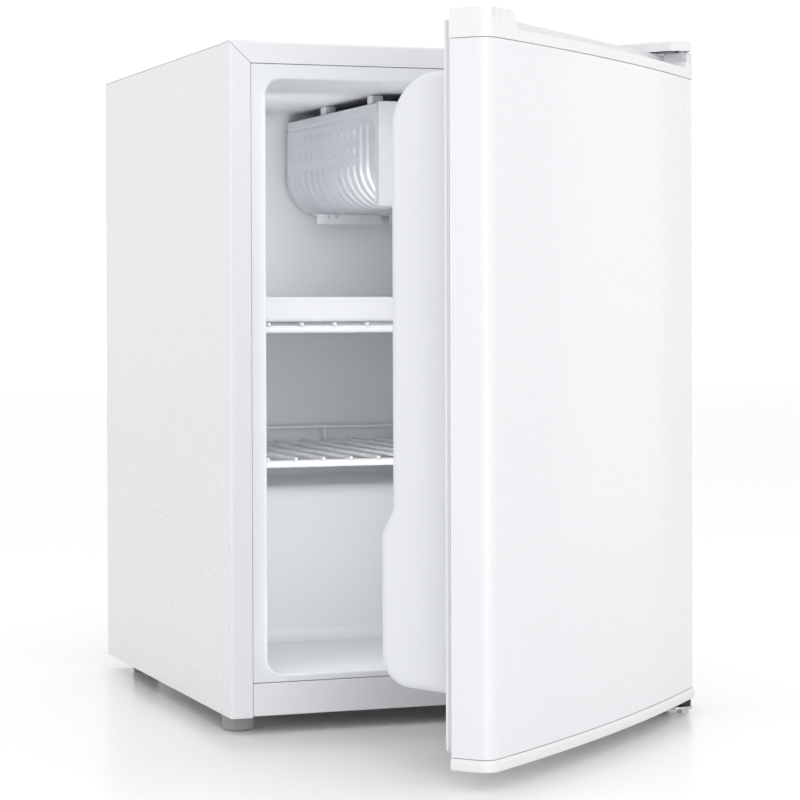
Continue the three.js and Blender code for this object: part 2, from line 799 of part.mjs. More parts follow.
// The raised rim of the door lining as a full block, shrunk on every side by an inset.
function rimBlock(inset) {
  const near = -doorEdgeToHinge + rimSide + inset;
  const far = doorFree - rimSide - inset;
  const slope = rimDraft / (rimDepth - linerBack);
  const tipShift = slope * (rimDeepDepth - linerBack);
  const plan = [[near, -doorBack], [far, -doorBack], [far, -linerBack]];
  plan.push([far - tipShift, -rimDeepDepth + inset], [near + tipShift, -rimDeepDepth + inset]);
  plan.push([near, -linerBack]);
  const side = rounded([
    [-doorBack, rimTop - inset],
    [-rimDepth + inset, rimTop - inset, rimTopCorner - inset],
    [-rimDepth + inset, shellBottom + rimStepHigh, 12],
    [-rimDeepDepth + inset, shellBottom + rimStepLow, 12],
    [-rimDeepDepth + inset, rimBottom + inset, rimBottomCorner - inset],
    [-doorBack, rimBottom - 5 + inset],
  ], 7);
  return extruded("xy", rounded(plan), rimBottom - 10, rimTop + 10)
    .intersect(extruded("yz", side, near - 10, far + 10));
}

// The storage space inside the rim, open towards the cold space.
function pocketSpace(grow) {
  const plan = rectangle(pocketNear - grow, pocketFar + grow, -rimDeepDepth - 5, -pocketFloorDepth + grow, 0);
  const low = shellBottom + pocketBottomMargin - grow;
  const high = rimTop - pocketTopMargin + grow;
  return extruded("xy", plan, low, high);
}

function pocketShelves() {
  return joined(...pocketShelfLevels.map((level) => block(
    pocketNear - 1, pocketFar + 1,
    -pocketShelfDepth, -pocketFloorDepth + 1,
    level, level + pocketShelfThickness,
  )));
}

function doorLiner() {
  const flange = block(
    -doorEdgeToHinge + linerEdge, doorFree - linerEdge,
    -linerBack, -linerBack + linerSheet,
    doorBottom + linerEndMargin, doorTop - linerEndMargin,
  );
  const inFront = block(-2 * doorEdgeToHinge, doorFree, -doorBack - gap, 0, 0, shellTop);
  const hollow = rimBlock(linerSheet).subtract(pocketSpace(linerSheet));
  return joined(flange, rimBlock(0).subtract(inFront))
    .subtract(pocketSpace(0))
    .subtract(hollow)
    .add(pocketShelves())
    .subtract(inFront);
}

function doorFoam() {
  const low = bottomCapTop + gap;
  const slab = extruded("xy", doorOutline(sheet + gap), low, topCapBottom - gap);
  const filling = rimBlock(linerSheet + gap).subtract(pocketSpace(linerSheet + gap));
  return slab.add(filling).subtract(panelLips(gap));
}

function doorGasket() {
  const near = -gasketHingeEdge;
  const far = doorFree - linerEdge;
  const low = doorBottom + gasketBottomMargin;
  const high = doorTop - gasketMargin;
  const back = -linerBack - gap;
  const ring = rectangle(near, far, low, high, 3);
  const hole = rectangle(near + gasketWidth, far - gasketWidth, low + gasketWidth, high - gasketWidth, 2);
  return extruded("xz", ring, back - gasketThickness, back)
    .subtract(extruded("xz", hole, back - gasketThickness - 1, back + 1));
}

// A guard rail across a door pocket, with an arm back along each side.
function rackRail(low, reach) {
  const near = pocketNear + gap;
  const far = pocketFar - gap;
  const outline = rounded([
    [near, -reach, 5],
    [far, -reach, 5],
    [far, -reach + railArm],
    [far - railThickness, -reach + railArm],
    [far - railThickness, -reach + railThickness, 3],
    [near + railThickness, -reach + railThickness, 3],
    [near + railThickness, -reach + railArm],
    [near, -reach + railArm],
  ], 3);
  return extruded("xy", outline, low, low + railHeight);
}

// ---------------------------------------------------------------- hinges and feet

function topHingeBracket() {
  const low = shellTop + hingeRise;
  const outline = rounded([
    [cabinetWidth - 62, 46],
    [cabinetWidth - 62, 6],
    [hingeX - 9, hingeY - 7, 6],
    [hingeX + 4.5, hingeY - 7, 5],
    [hingeX + 4.5, 46],
  ]);
  return extruded("xy", outline, low, low + hingePlate)
    .add(rod([hingeX, hingeY, topCapBottom + 8], [hingeX, hingeY, low + 1], pinDiameter / 2, 24));
}

function topHingeCover() {
  const low = doorTop + 1.3;
  const high = shellTop + hingeCoverHeight;
  const outline = (inset) => rounded([
    [cabinetWidth - 67 + inset, 52 - inset, 6 - inset],
    [cabinetWidth - 67 + inset, 0 + inset, 12 - inset],
    [hingeX - 16 + inset, hingeY - 11.5 + inset, 10 - inset],
    [hingeX + 6.5 - inset, hingeY - 11.5 + inset, 6 - inset],
    [hingeX + 6.5 - inset, 52 - inset, 6 - inset],
  ]);
  const inside = extruded("xy", outline(hingeCoverWall), low - 1, high - hingeCoverWall);
  const rearCut = block(0, cabinetWidth, -gap - 0.4, 100, low - 1, shellTop + cornerHemThickness + gap);
  return extruded("xy", outline(0), low, high).subtract(inside).subtract(rearCut);
}

function bottomHingeBracket() {
  const low = shellBottom - lowerPlateDrop - hingePlate;
  const tongue = extruded("xy", rounded([
    [hingeX - 46, 12],
    [hingeX - 46, -8, 6],
    [hingeX - 11, hingeY - 9, 8],
    [hingeX + 8, hingeY - 9, 7],
    [hingeX + 8, 12],
  ]), low, low + hingePlate);
  const riser = block(hingeX - 46, hingeX - 14, 9.5, 12, low, shellBottom + 0.6);
  const shelf = block(hingeX - 46, hingeX - 16, 9.5, 62, shellBottom + 0.6 - hingePlate, shellBottom + 0.6);
  return joined(tongue, riser, shelf)
    .subtract(rod([hingeX, hingeY, 0], [hingeX, hingeY, 50], pinDiameter / 2 + pinClearance, 24));
}

function bottomHingePin() {
  const plateLow = shellBottom - lowerPlateDrop - hingePlate;
  const headHigh = plateLow - gap;
  const headLow = headHigh - boltHeadHeight;
  return rod([hingeX, hingeY, headLow], [hingeX, hingeY, headHigh], boltHeadAcross / Math.sqrt(3), 6)
    .add(rod([hingeX, hingeY, headHigh - 1], [hingeX, hingeY, bottomCapTop - 2], pinDiameter / 2, 24));
}

function bottomHingeBush() {
  const low = shellBottom - lowerPlateDrop + gap;
  const high = shellBottom - 0.6;
  return rod([hingeX, hingeY, low], [hingeX, hingeY, high], 7.5, 24)
    .subtract(rod([hingeX, hingeY, 0], [hingeX, hingeY, 50], pinDiameter / 2 + pinClearance, 24));
}

function frontFoot(x) {
  const padTop = plateBottom - gap;
  return rod([x, footY, 0], [x, footY, padTop], footRadius, 24)
    .add(rod([x, footY, padTop - 1], [x, footY, plateBottom + studHeight], studRadius, 16));
}

function rearFoot(x) {
  const y = cabinetDepth - rearFootFromBack;
  return rod([x, y, 0], [x, y, plateBottom - gap], rearFootRadius, 20);
}

// ---------------------------------------------------------------- cooling machinery

function compressorBase() {
  const front = bayFront + sheet + gap;
  const plate = block(innerLeft, innerRight, front, cabinetDepth - 1, plateBottom, baseTop);
  const back = cabinetDepth - 1;
  const upstand = block(glandX - 22, glandX + 22, back - 2, back, baseTop - 1, glandZ + 18);
  return joined(plate, upstand)
    .subtract(rod([glandX, 0, glandZ], [glandX, cabinetDepth + 5, glandZ], glandRadius + 0.4, 16));
}

function cordGland() {
  const back = cabinetDepth - 1 + gap;
  return rod([glandX, back - 12, glandZ], [glandX, back, glandZ], glandRadius, 16)
    .add(rod([glandX, back, glandZ], [glandX, back + 0.7, glandZ], glandRadius + 3, 16))
    .subtract(rod([glandX, back - 20, glandZ], [glandX, back + 5, glandZ], 4, 12));
}

function compressor() {
  const low = baseTop + gap + grommetHeight + gap;
  const top = low + compressorBody;
  const r = compressorRadius;
  const pot = turned(compressorX, compressorY, [
    [0, low],
    [r * 0.6, low],
    [r * 0.92, low + 9],
    [r, low + 22],
    [r, low + 55],
    [r + 2, low + 57],
    [r + 2, low + 62],
    [r, low + 64],
    [r, top - 24],
    [r * 0.9, top - 10],
    [r * 0.6, top - 2],
    [0, top],
  ]);
  const plate = extruded("xy", rounded([
    [compressorX - mountHalfX, compressorY - mountHalfY, 10],
    [compressorX + mountHalfX, compressorY - mountHalfY, 10],
    [compressorX + mountHalfX, compressorY + mountHalfY, 10],
    [compressorX - mountHalfX, compressorY + mountHalfY, 10],
  ]), low, low + 3);
  return pot.add(plate);
}

function relayCover() {
  const x = compressorX + compressorRadius + 3;
  const outline = rectangle(x, x + 24, compressorY - 26, compressorY + 26, 5);
  return extruded("xy", outline, baseTop + relayLow, baseTop + relayHigh);
}

const grommet = ([x, y]) =>
  rod([x, y, baseTop + gap], [x, y, baseTop + gap + grommetHeight], 10, 14);

function condenserCoil() {
  const pitch = (coilTop - coilBottom) / (condenserRows - 1);
  const bend = pitch / 2;
  const pieces = [];
  for (let row = 0; row < condenserRows; row += 1) {
    const z = coilBottom + row * pitch;
    pieces.push(rod([coilLeft + bend, coilY, z], [coilRight - bend, coilY, z], condenserTube, 6));
    if (row === condenserRows - 1) break;
    const rightTurn = row % 2 === 0;
    const centre = rightTurn ? coilRight - bend : coilLeft + bend;
    const way = rightTurn ? 1 : -1;
    const turn = [];
    for (let i = 0; i <= 6; i += 1) {
      const angle = (Math.PI * i) / 6 - Math.PI / 2;
      turn.push([centre + way * bend * Math.cos(angle), coilY, z + bend + bend * Math.sin(angle)]);
    }
    pieces.push(tube(turn, condenserTube, 7, 6));
  }
  const low = baseTop + dischargeHigh;
  pieces.push(tube([
    [coilLeft + bend + 2, coilY, coilBottom],
    [coilLeft + 4, coilY, coilBottom - 6],
    [coilLeft, coilY, coilBottom - 18],
    [coilLeft, coilY, low],
  ], condenserTube, 8, 6));
  for (let i = 0; i < condenserWires; i += 1) {
    const x = coilLeft + bend + ((coilRight - coilLeft - 2 * bend) * i) / (condenserWires - 1);
    const y = coilY + (i % 2 ? -1 : 1) * condenserTube * 0.95;
    pieces.push(rod([x, y, coilBottom - 6], [x, y, coilTop + 6], condenserWire, 5));
  }
  return joined(...pieces);
}

function condenserClip(x, z) {
  const back = backPanelFront + sheet + gap;
  return block(x - 4, x + 4, back, coilY - condenserTube - condenserWire * 2 - gap, z - 9, z + 9);
}

function dischargeTube() {
  const low = baseTop + dischargeLow;
  return tube([
    [compressorX - compressorRadius - 2 - gap, compressorY, low],
    [compressorX - compressorRadius - 14, compressorY, low],
    [coilLeft + 10, compressorY + 20, low + 10],
    [coilLeft, compressorY + 60, low + 30],
    [coilLeft, coilY, low + 52],
    [coilLeft, coilY, baseTop + dischargeHigh - gap],
  ], condenserTube, 24);
}

function filterDrier() {
  const low = baseTop + drierLow;
  const high = baseTop + drierHigh;
  return turned(cabinetWidth - drierFromRight, coilY - 22, [
    [0, low],
    [2, low],
    [2, low + 10],
    [8, low + 18],
    [8, high - 18],
    [2.4, high - 10],
    [2.4, high],
    [0, high],
  ], 16);
}

// ---------------------------------------------------------------- the assembly

place("side_panel_left", leftSidePanel(), whiteSteel);
place("side_panel_right", mirroredAcross(leftSidePanel()), whiteSteel);
place("top_panel", topPanel(), whiteSteel);
place("bottom_front_rail", bottomFrontRail(), whiteSteel);
place("bottom_plate", bottomPlate(), zinc);
place("back_panel", backPanel(), whiteSteel);
place("bay_divider", bayDivider(), zinc);
place("inner_liner", innerLiner(), linerPlastic);
place("cabinet_foam", cabinetFoam(), foamMaterial);

place("evaporator", evaporator(), aluminium);
place("freezer_back_plate", freezerBackPlate(), whitePlastic);
place("freezer_front_frame", freezerFrontFrame(), whitePlastic);
place("freezer_flap", freezerFlap(), whitePlastic);
["front", "rear"].forEach((where, i) => {
  const y = freezerFront + hangerPositions[i];
  place(`freezer_hanger_${where}_left`, freezerHanger(freezerLeft + 2, y), whitePlastic);
  place(`freezer_hanger_${where}_right`, freezerHanger(freezerRight - 2 - hangerWidth, y), whitePlastic);
});
bracketPositions.forEach((fromLeft, i) => {
  place(`evaporator_bracket_${i + 1}`, evaporatorBracket(fromLeft), aluminium);
});
place("thermostat_housing", thermostatHousing(), whitePlastic);
place("thermostat_knob", thermostatKnob(), greyPlastic);

place("upper_shelf", wireShelf(upperShelfFoot, upperWirePitch), coatedWire);
place("lower_shelf", wireShelf(lowerShelfFoot, lowerWirePitch), coatedWire);
place("drip_tray", dripTray(), whitePlastic);

place("door_outer_panel", doorOuterPanel(), whiteSteel, door);
place("door_top_cap", doorTopCap(), whitePlastic, door);
place("door_bottom_cap", doorBottomCap(), whitePlastic, door);
place("door_liner", doorLiner(), linerPlastic, door);
place("door_foam", doorFoam(), foamMaterial, door);
place("door_gasket", doorGasket(), sealMaterial, door);
["middle", "upper"].forEach((where, i) => {
  const low = pocketShelfLevels[i] + railAboveShelf;
  place(`door_rail_${where}`, rackRail(low, rimDepth - railFromRim), whitePlastic, door);
});
const lowestRail = rackRail(shellBottom + lowRailHeight, rimDeepDepth - railFromRim);
place("door_rail_lower", lowestRail, whitePlastic, door);

place("top_hinge_bracket", topHingeBracket(), zinc);
place("top_hinge_cover", topHingeCover(), whitePlastic);
place("bottom_hinge_bracket", bottomHingeBracket(), zinc);
place("bottom_hinge_pin", bottomHingePin(), zinc);
place("bottom_hinge_bush", bottomHingeBush(), blackPlastic);

place("front_foot_left", frontFoot(footX), greyPlastic);
place("front_foot_right", frontFoot(cabinetWidth - footX), greyPlastic);
place("rear_foot_left", rearFoot(rearFootX), greyPlastic);
place("rear_foot_right", rearFoot(cabinetWidth - rearFootX), greyPlastic);

place("compressor_base", compressorBase(), zinc);
place("compressor", compressor(), blackSteel);
place("compressor_relay_cover", relayCover(), blackPlastic);
mountPlaces.forEach((at, i) => place(`compressor_grommet_${i + 1}`, grommet(at), rubber));
place("suction_tube", suctionTube(0), copper);
place("discharge_tube", dischargeTube(), copper);
place("filter_drier", filterDrier(), copper);
place("condenser_coil", condenserCoil(), blackSteel);
[[0.25, "left"], [0.75, "right"]].forEach(([share, side]) => {
  const x = cabinetWidth * share;
  place(`condenser_clip_top_${side}`, condenserClip(x, coilTop - clipFromCoilEnd), blackPlastic);
  place(`condenser_clip_bottom_${side}`, condenserClip(x, coilBottom + clipFromCoilEnd), blackPlastic);
});
place("cord_gland", cordGland(), blackPlastic);

// The origin is on the floor, under the middle of the whole object as it stands.
const whole = new THREE.Box3().setFromObject(appliance, true);
const middle = whole.getCenter(new THREE.Vector3());
appliance.position.set(-middle.x, -middle.y, -whole.min.z);

export default appliance;
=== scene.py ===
"""Compact refrigerator, door part open, in a plain studio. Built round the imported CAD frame."""

import json
import math

import bmesh
import bpy
from mathutils import Matrix, Vector

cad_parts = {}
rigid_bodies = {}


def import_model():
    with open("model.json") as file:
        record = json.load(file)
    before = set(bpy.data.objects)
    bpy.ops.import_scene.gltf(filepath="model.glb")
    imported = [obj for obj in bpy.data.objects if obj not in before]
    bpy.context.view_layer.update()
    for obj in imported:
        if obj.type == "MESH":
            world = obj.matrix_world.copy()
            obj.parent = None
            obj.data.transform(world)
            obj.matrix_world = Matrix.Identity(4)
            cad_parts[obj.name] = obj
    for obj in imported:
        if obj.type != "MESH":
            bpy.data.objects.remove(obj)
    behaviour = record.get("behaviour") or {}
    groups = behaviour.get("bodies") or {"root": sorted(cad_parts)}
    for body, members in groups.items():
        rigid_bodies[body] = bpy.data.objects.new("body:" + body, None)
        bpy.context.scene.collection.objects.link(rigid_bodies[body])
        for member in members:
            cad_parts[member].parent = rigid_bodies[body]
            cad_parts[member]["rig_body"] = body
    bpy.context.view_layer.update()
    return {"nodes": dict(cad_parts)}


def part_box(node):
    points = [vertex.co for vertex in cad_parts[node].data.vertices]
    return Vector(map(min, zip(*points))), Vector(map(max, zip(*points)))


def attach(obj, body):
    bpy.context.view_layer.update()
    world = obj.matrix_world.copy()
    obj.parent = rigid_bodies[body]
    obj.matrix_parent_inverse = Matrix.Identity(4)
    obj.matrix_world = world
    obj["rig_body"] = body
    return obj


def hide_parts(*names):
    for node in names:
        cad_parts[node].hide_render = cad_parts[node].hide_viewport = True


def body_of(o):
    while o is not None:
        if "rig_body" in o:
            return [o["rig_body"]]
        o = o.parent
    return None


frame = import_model()
nodes = frame["nodes"]

# ---------------------------------------------------------------- sizes, in millimetres

CABINET_WIDTH = 450
CABINET_DEPTH = 465
SHELL_BOTTOM = 15
SHELL_TOP = 623
SHEET = 1
GAP = 0.3
SEAM = 0.5
SIDE_FLANGE = 20.3
TOP_FLANGE = 19.3
RAIL_TOP = 45.6

CAVITY_LEFT = 34.9
CAVITY_RIGHT = 415.1
CAVITY_BOTTOM = 50
CAVITY_TOP = 590
CAVITY_BACK = 416
STEP_WALL = 240
STEP_TOP = 205
SILL_DEPTH = 49
SILL_HEIGHT = 3
LINER_SHEET = 1.5
LINER_FRONT = 0.4
UPPER_LEDGE = 360.9
LOWER_LEDGE = 234.7

DOOR_ANGLE = 42.37
HINGE_X = 431.05
HINGE_Y = -37.03
DOOR_NEAR = -18.7
DOOR_FAR = 431.1
DOOR_BOTTOM = 15
DOOR_TOP = 621
DOOR_BACK = 29.9
DOOR_LINER_BACK = 31.7
DOOR_FRONT_EDGE = 5
DOOR_BOW = 11.7
DOOR_CORNER = 11
TOP_CAP_BOTTOM = 597.3
BOTTOM_CAP_TOP = 24.5
SKIN_RETURN = 6
GRIP_BLOCK_FREE = 43
GRIP_BLOCK_HINGE = 29
GRIP_LIP_HEIGHT = 8.8
GRIP_BACK = 14
GRIP_RAIL_DROP = 2.4
CAP_PROUD = 0.5
HINGE_BORE = 4.4

RIM_TOP = 577
RIM_BOTTOM = 70
RIM_SIDE = 40
RIM_DRAFT = 12.5
RIM_DEPTH = 112
RIM_DEEP = 123.5
POCKET_NEAR = DOOR_NEAR + 68.5
POCKET_FAR = DOOR_FAR - 68.5
POCKET_FLOOR = 40
POCKET_LOW = 91
POCKET_HIGH = 559
POCKET_SHELVES = ((277, 285), (420, 428))
POCKET_SHELF_DEPTH = 104
LINER_EDGE_NEAR = 3.7
LINER_EDGE_FAR = 3.6

FREEZER_LEFT = 183.1
FREEZER_RIGHT = 403.1
FREEZER_TOP = 581
FREEZER_BOTTOM = 482.5
FREEZER_FRONT = 125
FREEZER_BACK = 404

FLAP_FRONT = FREEZER_FRONT - 11.5
FLAP_BACK = FREEZER_FRONT - 5.8
RIB_PITCH = 19.4
RIB_FIRST = 22
RIB_COUNT = 14
RIB_HALF_WIDTH = 4.7
RIB_LIFT = 2.3
RIB_TOP = 528
TALL_RIBS = 2
TALL_RIB_TOP = 565
DASH_HEIGHTS = (557, 540)

UPPER_SHELF = 360.2
LOWER_SHELF = 234
SHELF_SIDE = 5
TRAY_ABOVE_SHELF = 10.1
TRAY_HEIGHT = 23.6
DIAL_Y = 205
DIAL_Z = 439
FRONT_FOOT_IN = 16
REAR_FOOT_IN = 32

BASE_TOP = 18
COMPRESSOR_X = 150
COMPRESSOR_Y = 367.75
COIL_BOTTOM = 208.5
COIL_SIDE = 46
COIL_Y = CABINET_DEPTH - 8
SUCTION_Y = 432.5

# ---------------------------------------------------------------- frames

LEFT_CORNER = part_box("side_panel_left")[0]
TO_METRES = Matrix.Scale(0.001, 4)
CABINET = Matrix.Translation((LEFT_CORNER.x, LEFT_CORNER.y, 0)) @ TO_METRES
DOOR = (
    Matrix.Translation(CABINET @ Vector((HINGE_X, HINGE_Y, 0)))
    @ Matrix.Rotation(math.pi + math.radians(DOOR_ANGLE), 4, "Z")
    @ TO_METRES
)

# ---------------------------------------------------------------- materials


GRAIN_DEPTH = 0.0002


def link(tree, source, output, target, socket):
    tree.links.new(source.outputs[output], target.inputs[socket])


def surface(name, light, dark, rough, metallic=0.0, ior=1.46, coat=0.0, coat_rough=0.06,
            patch=7.0, grain=700.0, relief=0.02):
    """A finish with a fine grain; where light and dark differ, its tint drifts softly too."""
    made = bpy.data.materials.new(name)
    made.use_nodes = True
    tree = made.node_tree
    shader = tree.nodes["Principled BSDF"]
    shader.inputs["Metallic"].default_value = metallic
    shader.inputs["IOR"].default_value = ior
    shader.inputs["Coat Weight"].default_value = coat
    shader.inputs["Coat Roughness"].default_value = coat_rough
    place = tree.nodes.new("ShaderNodeTexCoord")

    if light == dark:
        shader.inputs["Base Color"].default_value = (*light, 1)
    else:
        drift = tree.nodes.new("ShaderNodeTexNoise")
        drift.inputs["Scale"].default_value = patch
        drift.inputs["Detail"].default_value = 4
        link(tree, place, "Object", drift, "Vector")
        tint = tree.nodes.new("ShaderNodeMix")
        tint.data_type = "RGBA"
        tint.inputs["A"].default_value = (*light, 1)
        tint.inputs["B"].default_value = (*dark, 1)
        link(tree, drift, "Fac", tint, "Factor")
        link(tree, tint, "Result", shader, "Base Color")

    fine = tree.nodes.new("ShaderNodeTexNoise")
    fine.inputs["Scale"].default_value = grain
    fine.inputs["Detail"].default_value = 3
    link(tree, place, "Object", fine, "Vector")
    polish = tree.nodes.new("ShaderNodeMapRange")
    polish.inputs["To Min"].default_value = rough[0]
    polish.inputs["To Max"].default_value = rough[1]
    link(tree, fine if light == dark else drift, "Fac", polish, "Value")
    link(tree, polish, "Result", shader, "Roughness")
    bump = tree.nodes.new("ShaderNodeBump")
    bump.inputs["Strength"].default_value = relief
    bump.inputs["Distance"].default_value = GRAIN_DEPTH
    link(tree, fine, "Fac", bump, "Height")
    link(tree, bump, "Normal", shader, "Normal")
    return made


FINISH = {
    "painted_steel": surface(
        "white_enamel", (0.77, 0.78, 0.80), (0.77, 0.78, 0.80), (0.24, 0.30),
        coat=0.35, coat_rough=0.08, grain=1100, relief=0.05),
    "moulded_white": surface(
        "white_moulding", (0.775, 0.785, 0.80), (0.775, 0.785, 0.80), (0.30, 0.36),
        grain=1500, relief=0.05),
    "liner": surface(
        "liner_polystyrene", (0.765, 0.78, 0.80), (0.765, 0.78, 0.80), (0.30, 0.38),
        grain=1000, relief=0.05),
    "foam": surface(
        "foam", (0.78, 0.69, 0.44), (0.70, 0.60, 0.36), (0.85, 0.95), grain=900, relief=0.5),
    "aluminium": surface(
        "satin_aluminium", (0.84, 0.86, 0.88), (0.78, 0.80, 0.82), (0.34, 0.44), metallic=0.9,
        patch=14, grain=1600, relief=0.08),
    "zinc": surface(
        "zinc_plate", (0.66, 0.67, 0.68), (0.50, 0.51, 0.53), (0.25, 0.45), metallic=1.0,
        patch=90, grain=1800, relief=0.08),
    "black_steel": surface(
        "black_enamel", (0.018, 0.018, 0.02), (0.03, 0.03, 0.032), (0.28, 0.42), coat=0.25,
        patch=20, grain=420, relief=0.12),
    "black_plastic": surface(
        "black_moulding", (0.02, 0.02, 0.022), (0.03, 0.03, 0.032), (0.5, 0.62),
        grain=1600, relief=0.25),
    "rubber": surface(
        "rubber", (0.02, 0.02, 0.02), (0.035, 0.034, 0.033), (0.7, 0.85),
        grain=1200, relief=0.3),
    "copper": surface(
        "copper_tube", (0.80, 0.42, 0.26), (0.50, 0.24, 0.14), (0.2, 0.42), metallic=1.0,
        patch=45, grain=1500, relief=0.06),
    "seal": surface(
        "seal_vinyl", (0.76, 0.765, 0.77), (0.76, 0.765, 0.77), (0.45, 0.55),
        grain=1300, relief=0.12),
    "coated_wire": surface(
        "coated_wire", (0.86, 0.87, 0.88), (0.86, 0.87, 0.88), (0.22, 0.30), coat=0.3,
        grain=900, relief=0.05),
    "grey_plastic": surface(
        "grey_moulding", (0.34, 0.34, 0.35), (0.30, 0.30, 0.31), (0.42, 0.52),
        grain=1500, relief=0.2),
}

SLOT_OF = {}
for wanted, members in {
    "painted_steel": "side_panel_left side_panel_right top_panel bottom_front_rail back_panel "
                     "door_outer_panel",
    "moulded_white": "freezer_back_plate freezer_front_frame freezer_flap "
                     "freezer_hanger_front_left freezer_hanger_front_right "
                     "freezer_hanger_rear_left freezer_hanger_rear_right thermostat_housing "
                     "drip_tray door_top_cap door_bottom_cap door_rail_upper door_rail_middle "
                     "door_rail_lower top_hinge_cover",
    "liner": "inner_liner door_liner",
    "foam": "cabinet_foam door_foam",
    "aluminium": "evaporator evaporator_bracket_1 evaporator_bracket_2",
    "zinc": "bottom_plate bay_divider top_hinge_bracket bottom_hinge_bracket bottom_hinge_pin "
            "compressor_base",
    "black_steel": "compressor condenser_coil",
    "black_plastic": "bottom_hinge_bush compressor_relay_cover condenser_clip_top_left "
                     "condenser_clip_top_right condenser_clip_bottom_left "
                     "condenser_clip_bottom_right cord_gland",
    "rubber": "compressor_grommet_1 compressor_grommet_2 compressor_grommet_3 "
              "compressor_grommet_4",
    "copper": "suction_tube discharge_tube filter_drier",
    "seal": "door_gasket",
    "coated_wire": "upper_shelf lower_shelf",
    "grey_plastic": "thermostat_knob front_foot_left front_foot_right rear_foot_left "
                    "rear_foot_right",
}.items():
    for member in members.split():
        SLOT_OF[member] = wanted

# ---------------------------------------------------------------- shapes


def rounded(corners, steps=8):
    """Corner points (a, b, radius) as an outline, rounded where a radius is given."""
    points = []
    for i, (a, b, *rest) in enumerate(corners):
        here = Vector((a, b))
        if not rest or rest[0] <= 0:
            points.append(here)
            continue
        radius = rest[0]
        before = corners[i - 1]
        after = corners[(i + 1) % len(corners)]
        back = (Vector(before[:2]) - here).normalized()
        ahead = (Vector(after[:2]) - here).normalized()
        half = back.angle(ahead) / 2
        centre = here + (back + ahead).normalized() * (radius / math.sin(half))
        start = here + back * (radius / math.tan(half)) - centre
        end = here + ahead * (radius / math.tan(half)) - centre
        turn = math.atan2(start.cross(end), start.dot(end))
        for step in range(steps + 1):
            angle = turn * step / steps
            points.append(centre + Matrix.Rotation(angle, 2) @ start)
    return points


def rectangle(a0, a1, b0, b1, radius=0.0, steps=8):
    return rounded([(a0, b0, radius), (a1, b0, radius), (a1, b1, radius), (a0, b1, radius)], steps)


def loft(rings, around=False):
    """Faces between rings of as many points each. The ends are capped, or joined where around is set."""
    size = len(rings[0])
    points = [Vector(p) for ring in rings for p in ring]
    faces = []
    last = len(rings) if around else len(rings) - 1
    for i in range(last):
        low = i * size
        high = (i + 1) % len(rings) * size
        for j in range(size):
            k = (j + 1) % size
            faces.append((low + j, low + k, high + k, high + j))
    if not around:
        faces.append(tuple(reversed(range(size))))
        faces.append(tuple(range((len(rings) - 1) * size, len(rings) * size)))
    return points, faces


def together(*shapes):
    points = []
    faces = []
    for more, sides in shapes:
        start = len(points)
        points += more
        faces += [tuple(start + i for i in side) for side in sides]
    return points, faces


def prism(outline, low, high, plane="xy"):
    """An outline pushed along the axis it lacks."""
    def lifted(p, level):
        return (p[0], p[1], level) if plane == "xy" else (p[0], level, p[1])
    return loft([[lifted(p, level) for p in outline] for level in (low, high)])


def block(x0, x1, y0, y1, z0, z1):
    return prism([(x0, y0), (x1, y0), (x1, y1), (x0, y1)], z0, z1)


def smooth_path(points, steps):
    """Catmull-Rom through the points."""
    points = [Vector(p) for p in points]
    ends = [2 * points[0] - points[1], *points, 2 * points[-1] - points[-2]]
    path = []
    for i in range(1, len(ends) - 2):
        a, b, c, d = ends[i - 1:i + 3]
        for step in range(steps):
            t = step / steps
            path.append(0.5 * (2 * b + (c - a) * t + (2 * a - 5 * b + 4 * c - d) * t ** 2
                               + (3 * b - a - 3 * c + d) * t ** 3))
    path.append(points[-1])
    return path


def tube(path, radius, sides=16, dome=False):
    """A round bar along the points; dome closes its ends with half balls."""
    path = [Vector(p) for p in path]
    stations = [(p, radius) for p in path]
    if dome:
        first = (path[0] - path[1]).normalized()
        last = (path[-1] - path[-2]).normalized()
        turns = [math.radians(15 * k) for k in range(1, 6)]
        low = [(path[0] + first * radius * (math.sin(t) - 1), radius * math.cos(t)) for t in turns]
        high = [(path[-1] + last * radius * (math.sin(t) - 1), radius * math.cos(t)) for t in turns]
        stations[0] = (path[0] - first * radius, radius)
        stations[-1] = (path[-1] - last * radius, radius)
        stations = low[::-1] + stations + high
    ways = []
    for i in range(len(stations)):
        before = stations[max(i - 1, 0)][0]
        after = stations[min(i + 1, len(stations) - 1)][0]
        ways.append((after - before).normalized())
    side = ways[0].orthogonal().normalized()
    rings = []
    for (centre, size), way in zip(stations, ways):
        side = (side - way * side.dot(way)).normalized()
        up = way.cross(side)
        turns = [2 * math.pi * j / sides for j in range(sides)]
        rings.append([centre + (side * math.cos(t) + up * math.sin(t)) * size for t in turns])
    return loft(rings)


def turned(centre, profile, sides=48, way="z", ribs=0, rib_depth=0.0):
    """A profile of (radius, height) turned about an axis through centre, along z or x."""
    rings = []
    for radius, height in profile:
        ring = []
        for j in range(sides):
            angle = 2 * math.pi * j / sides
            reach = radius
            if ribs and radius > rib_depth * 4:
                reach -= rib_depth * (0.5 - 0.5 * math.cos(angle * ribs))
            a = reach * math.cos(angle)
            b = reach * math.sin(angle)
            offset = (a, b, height) if way == "z" else (height, a, b)
            ring.append(Vector(centre) + Vector(offset))
        rings.append(ring)
    return loft(rings)


def arc(centre_a, centre_b, radius, start, end, steps):
    """Points on a circle, angles in degrees."""
    return [
        (centre_a + radius * math.cos(math.radians(start + (end - start) * k / steps)),
         centre_b + radius * math.sin(math.radians(start + (end - start) * k / steps)))
        for k in range(steps + 1)
    ]


# ---------------------------------------------------------------- objects


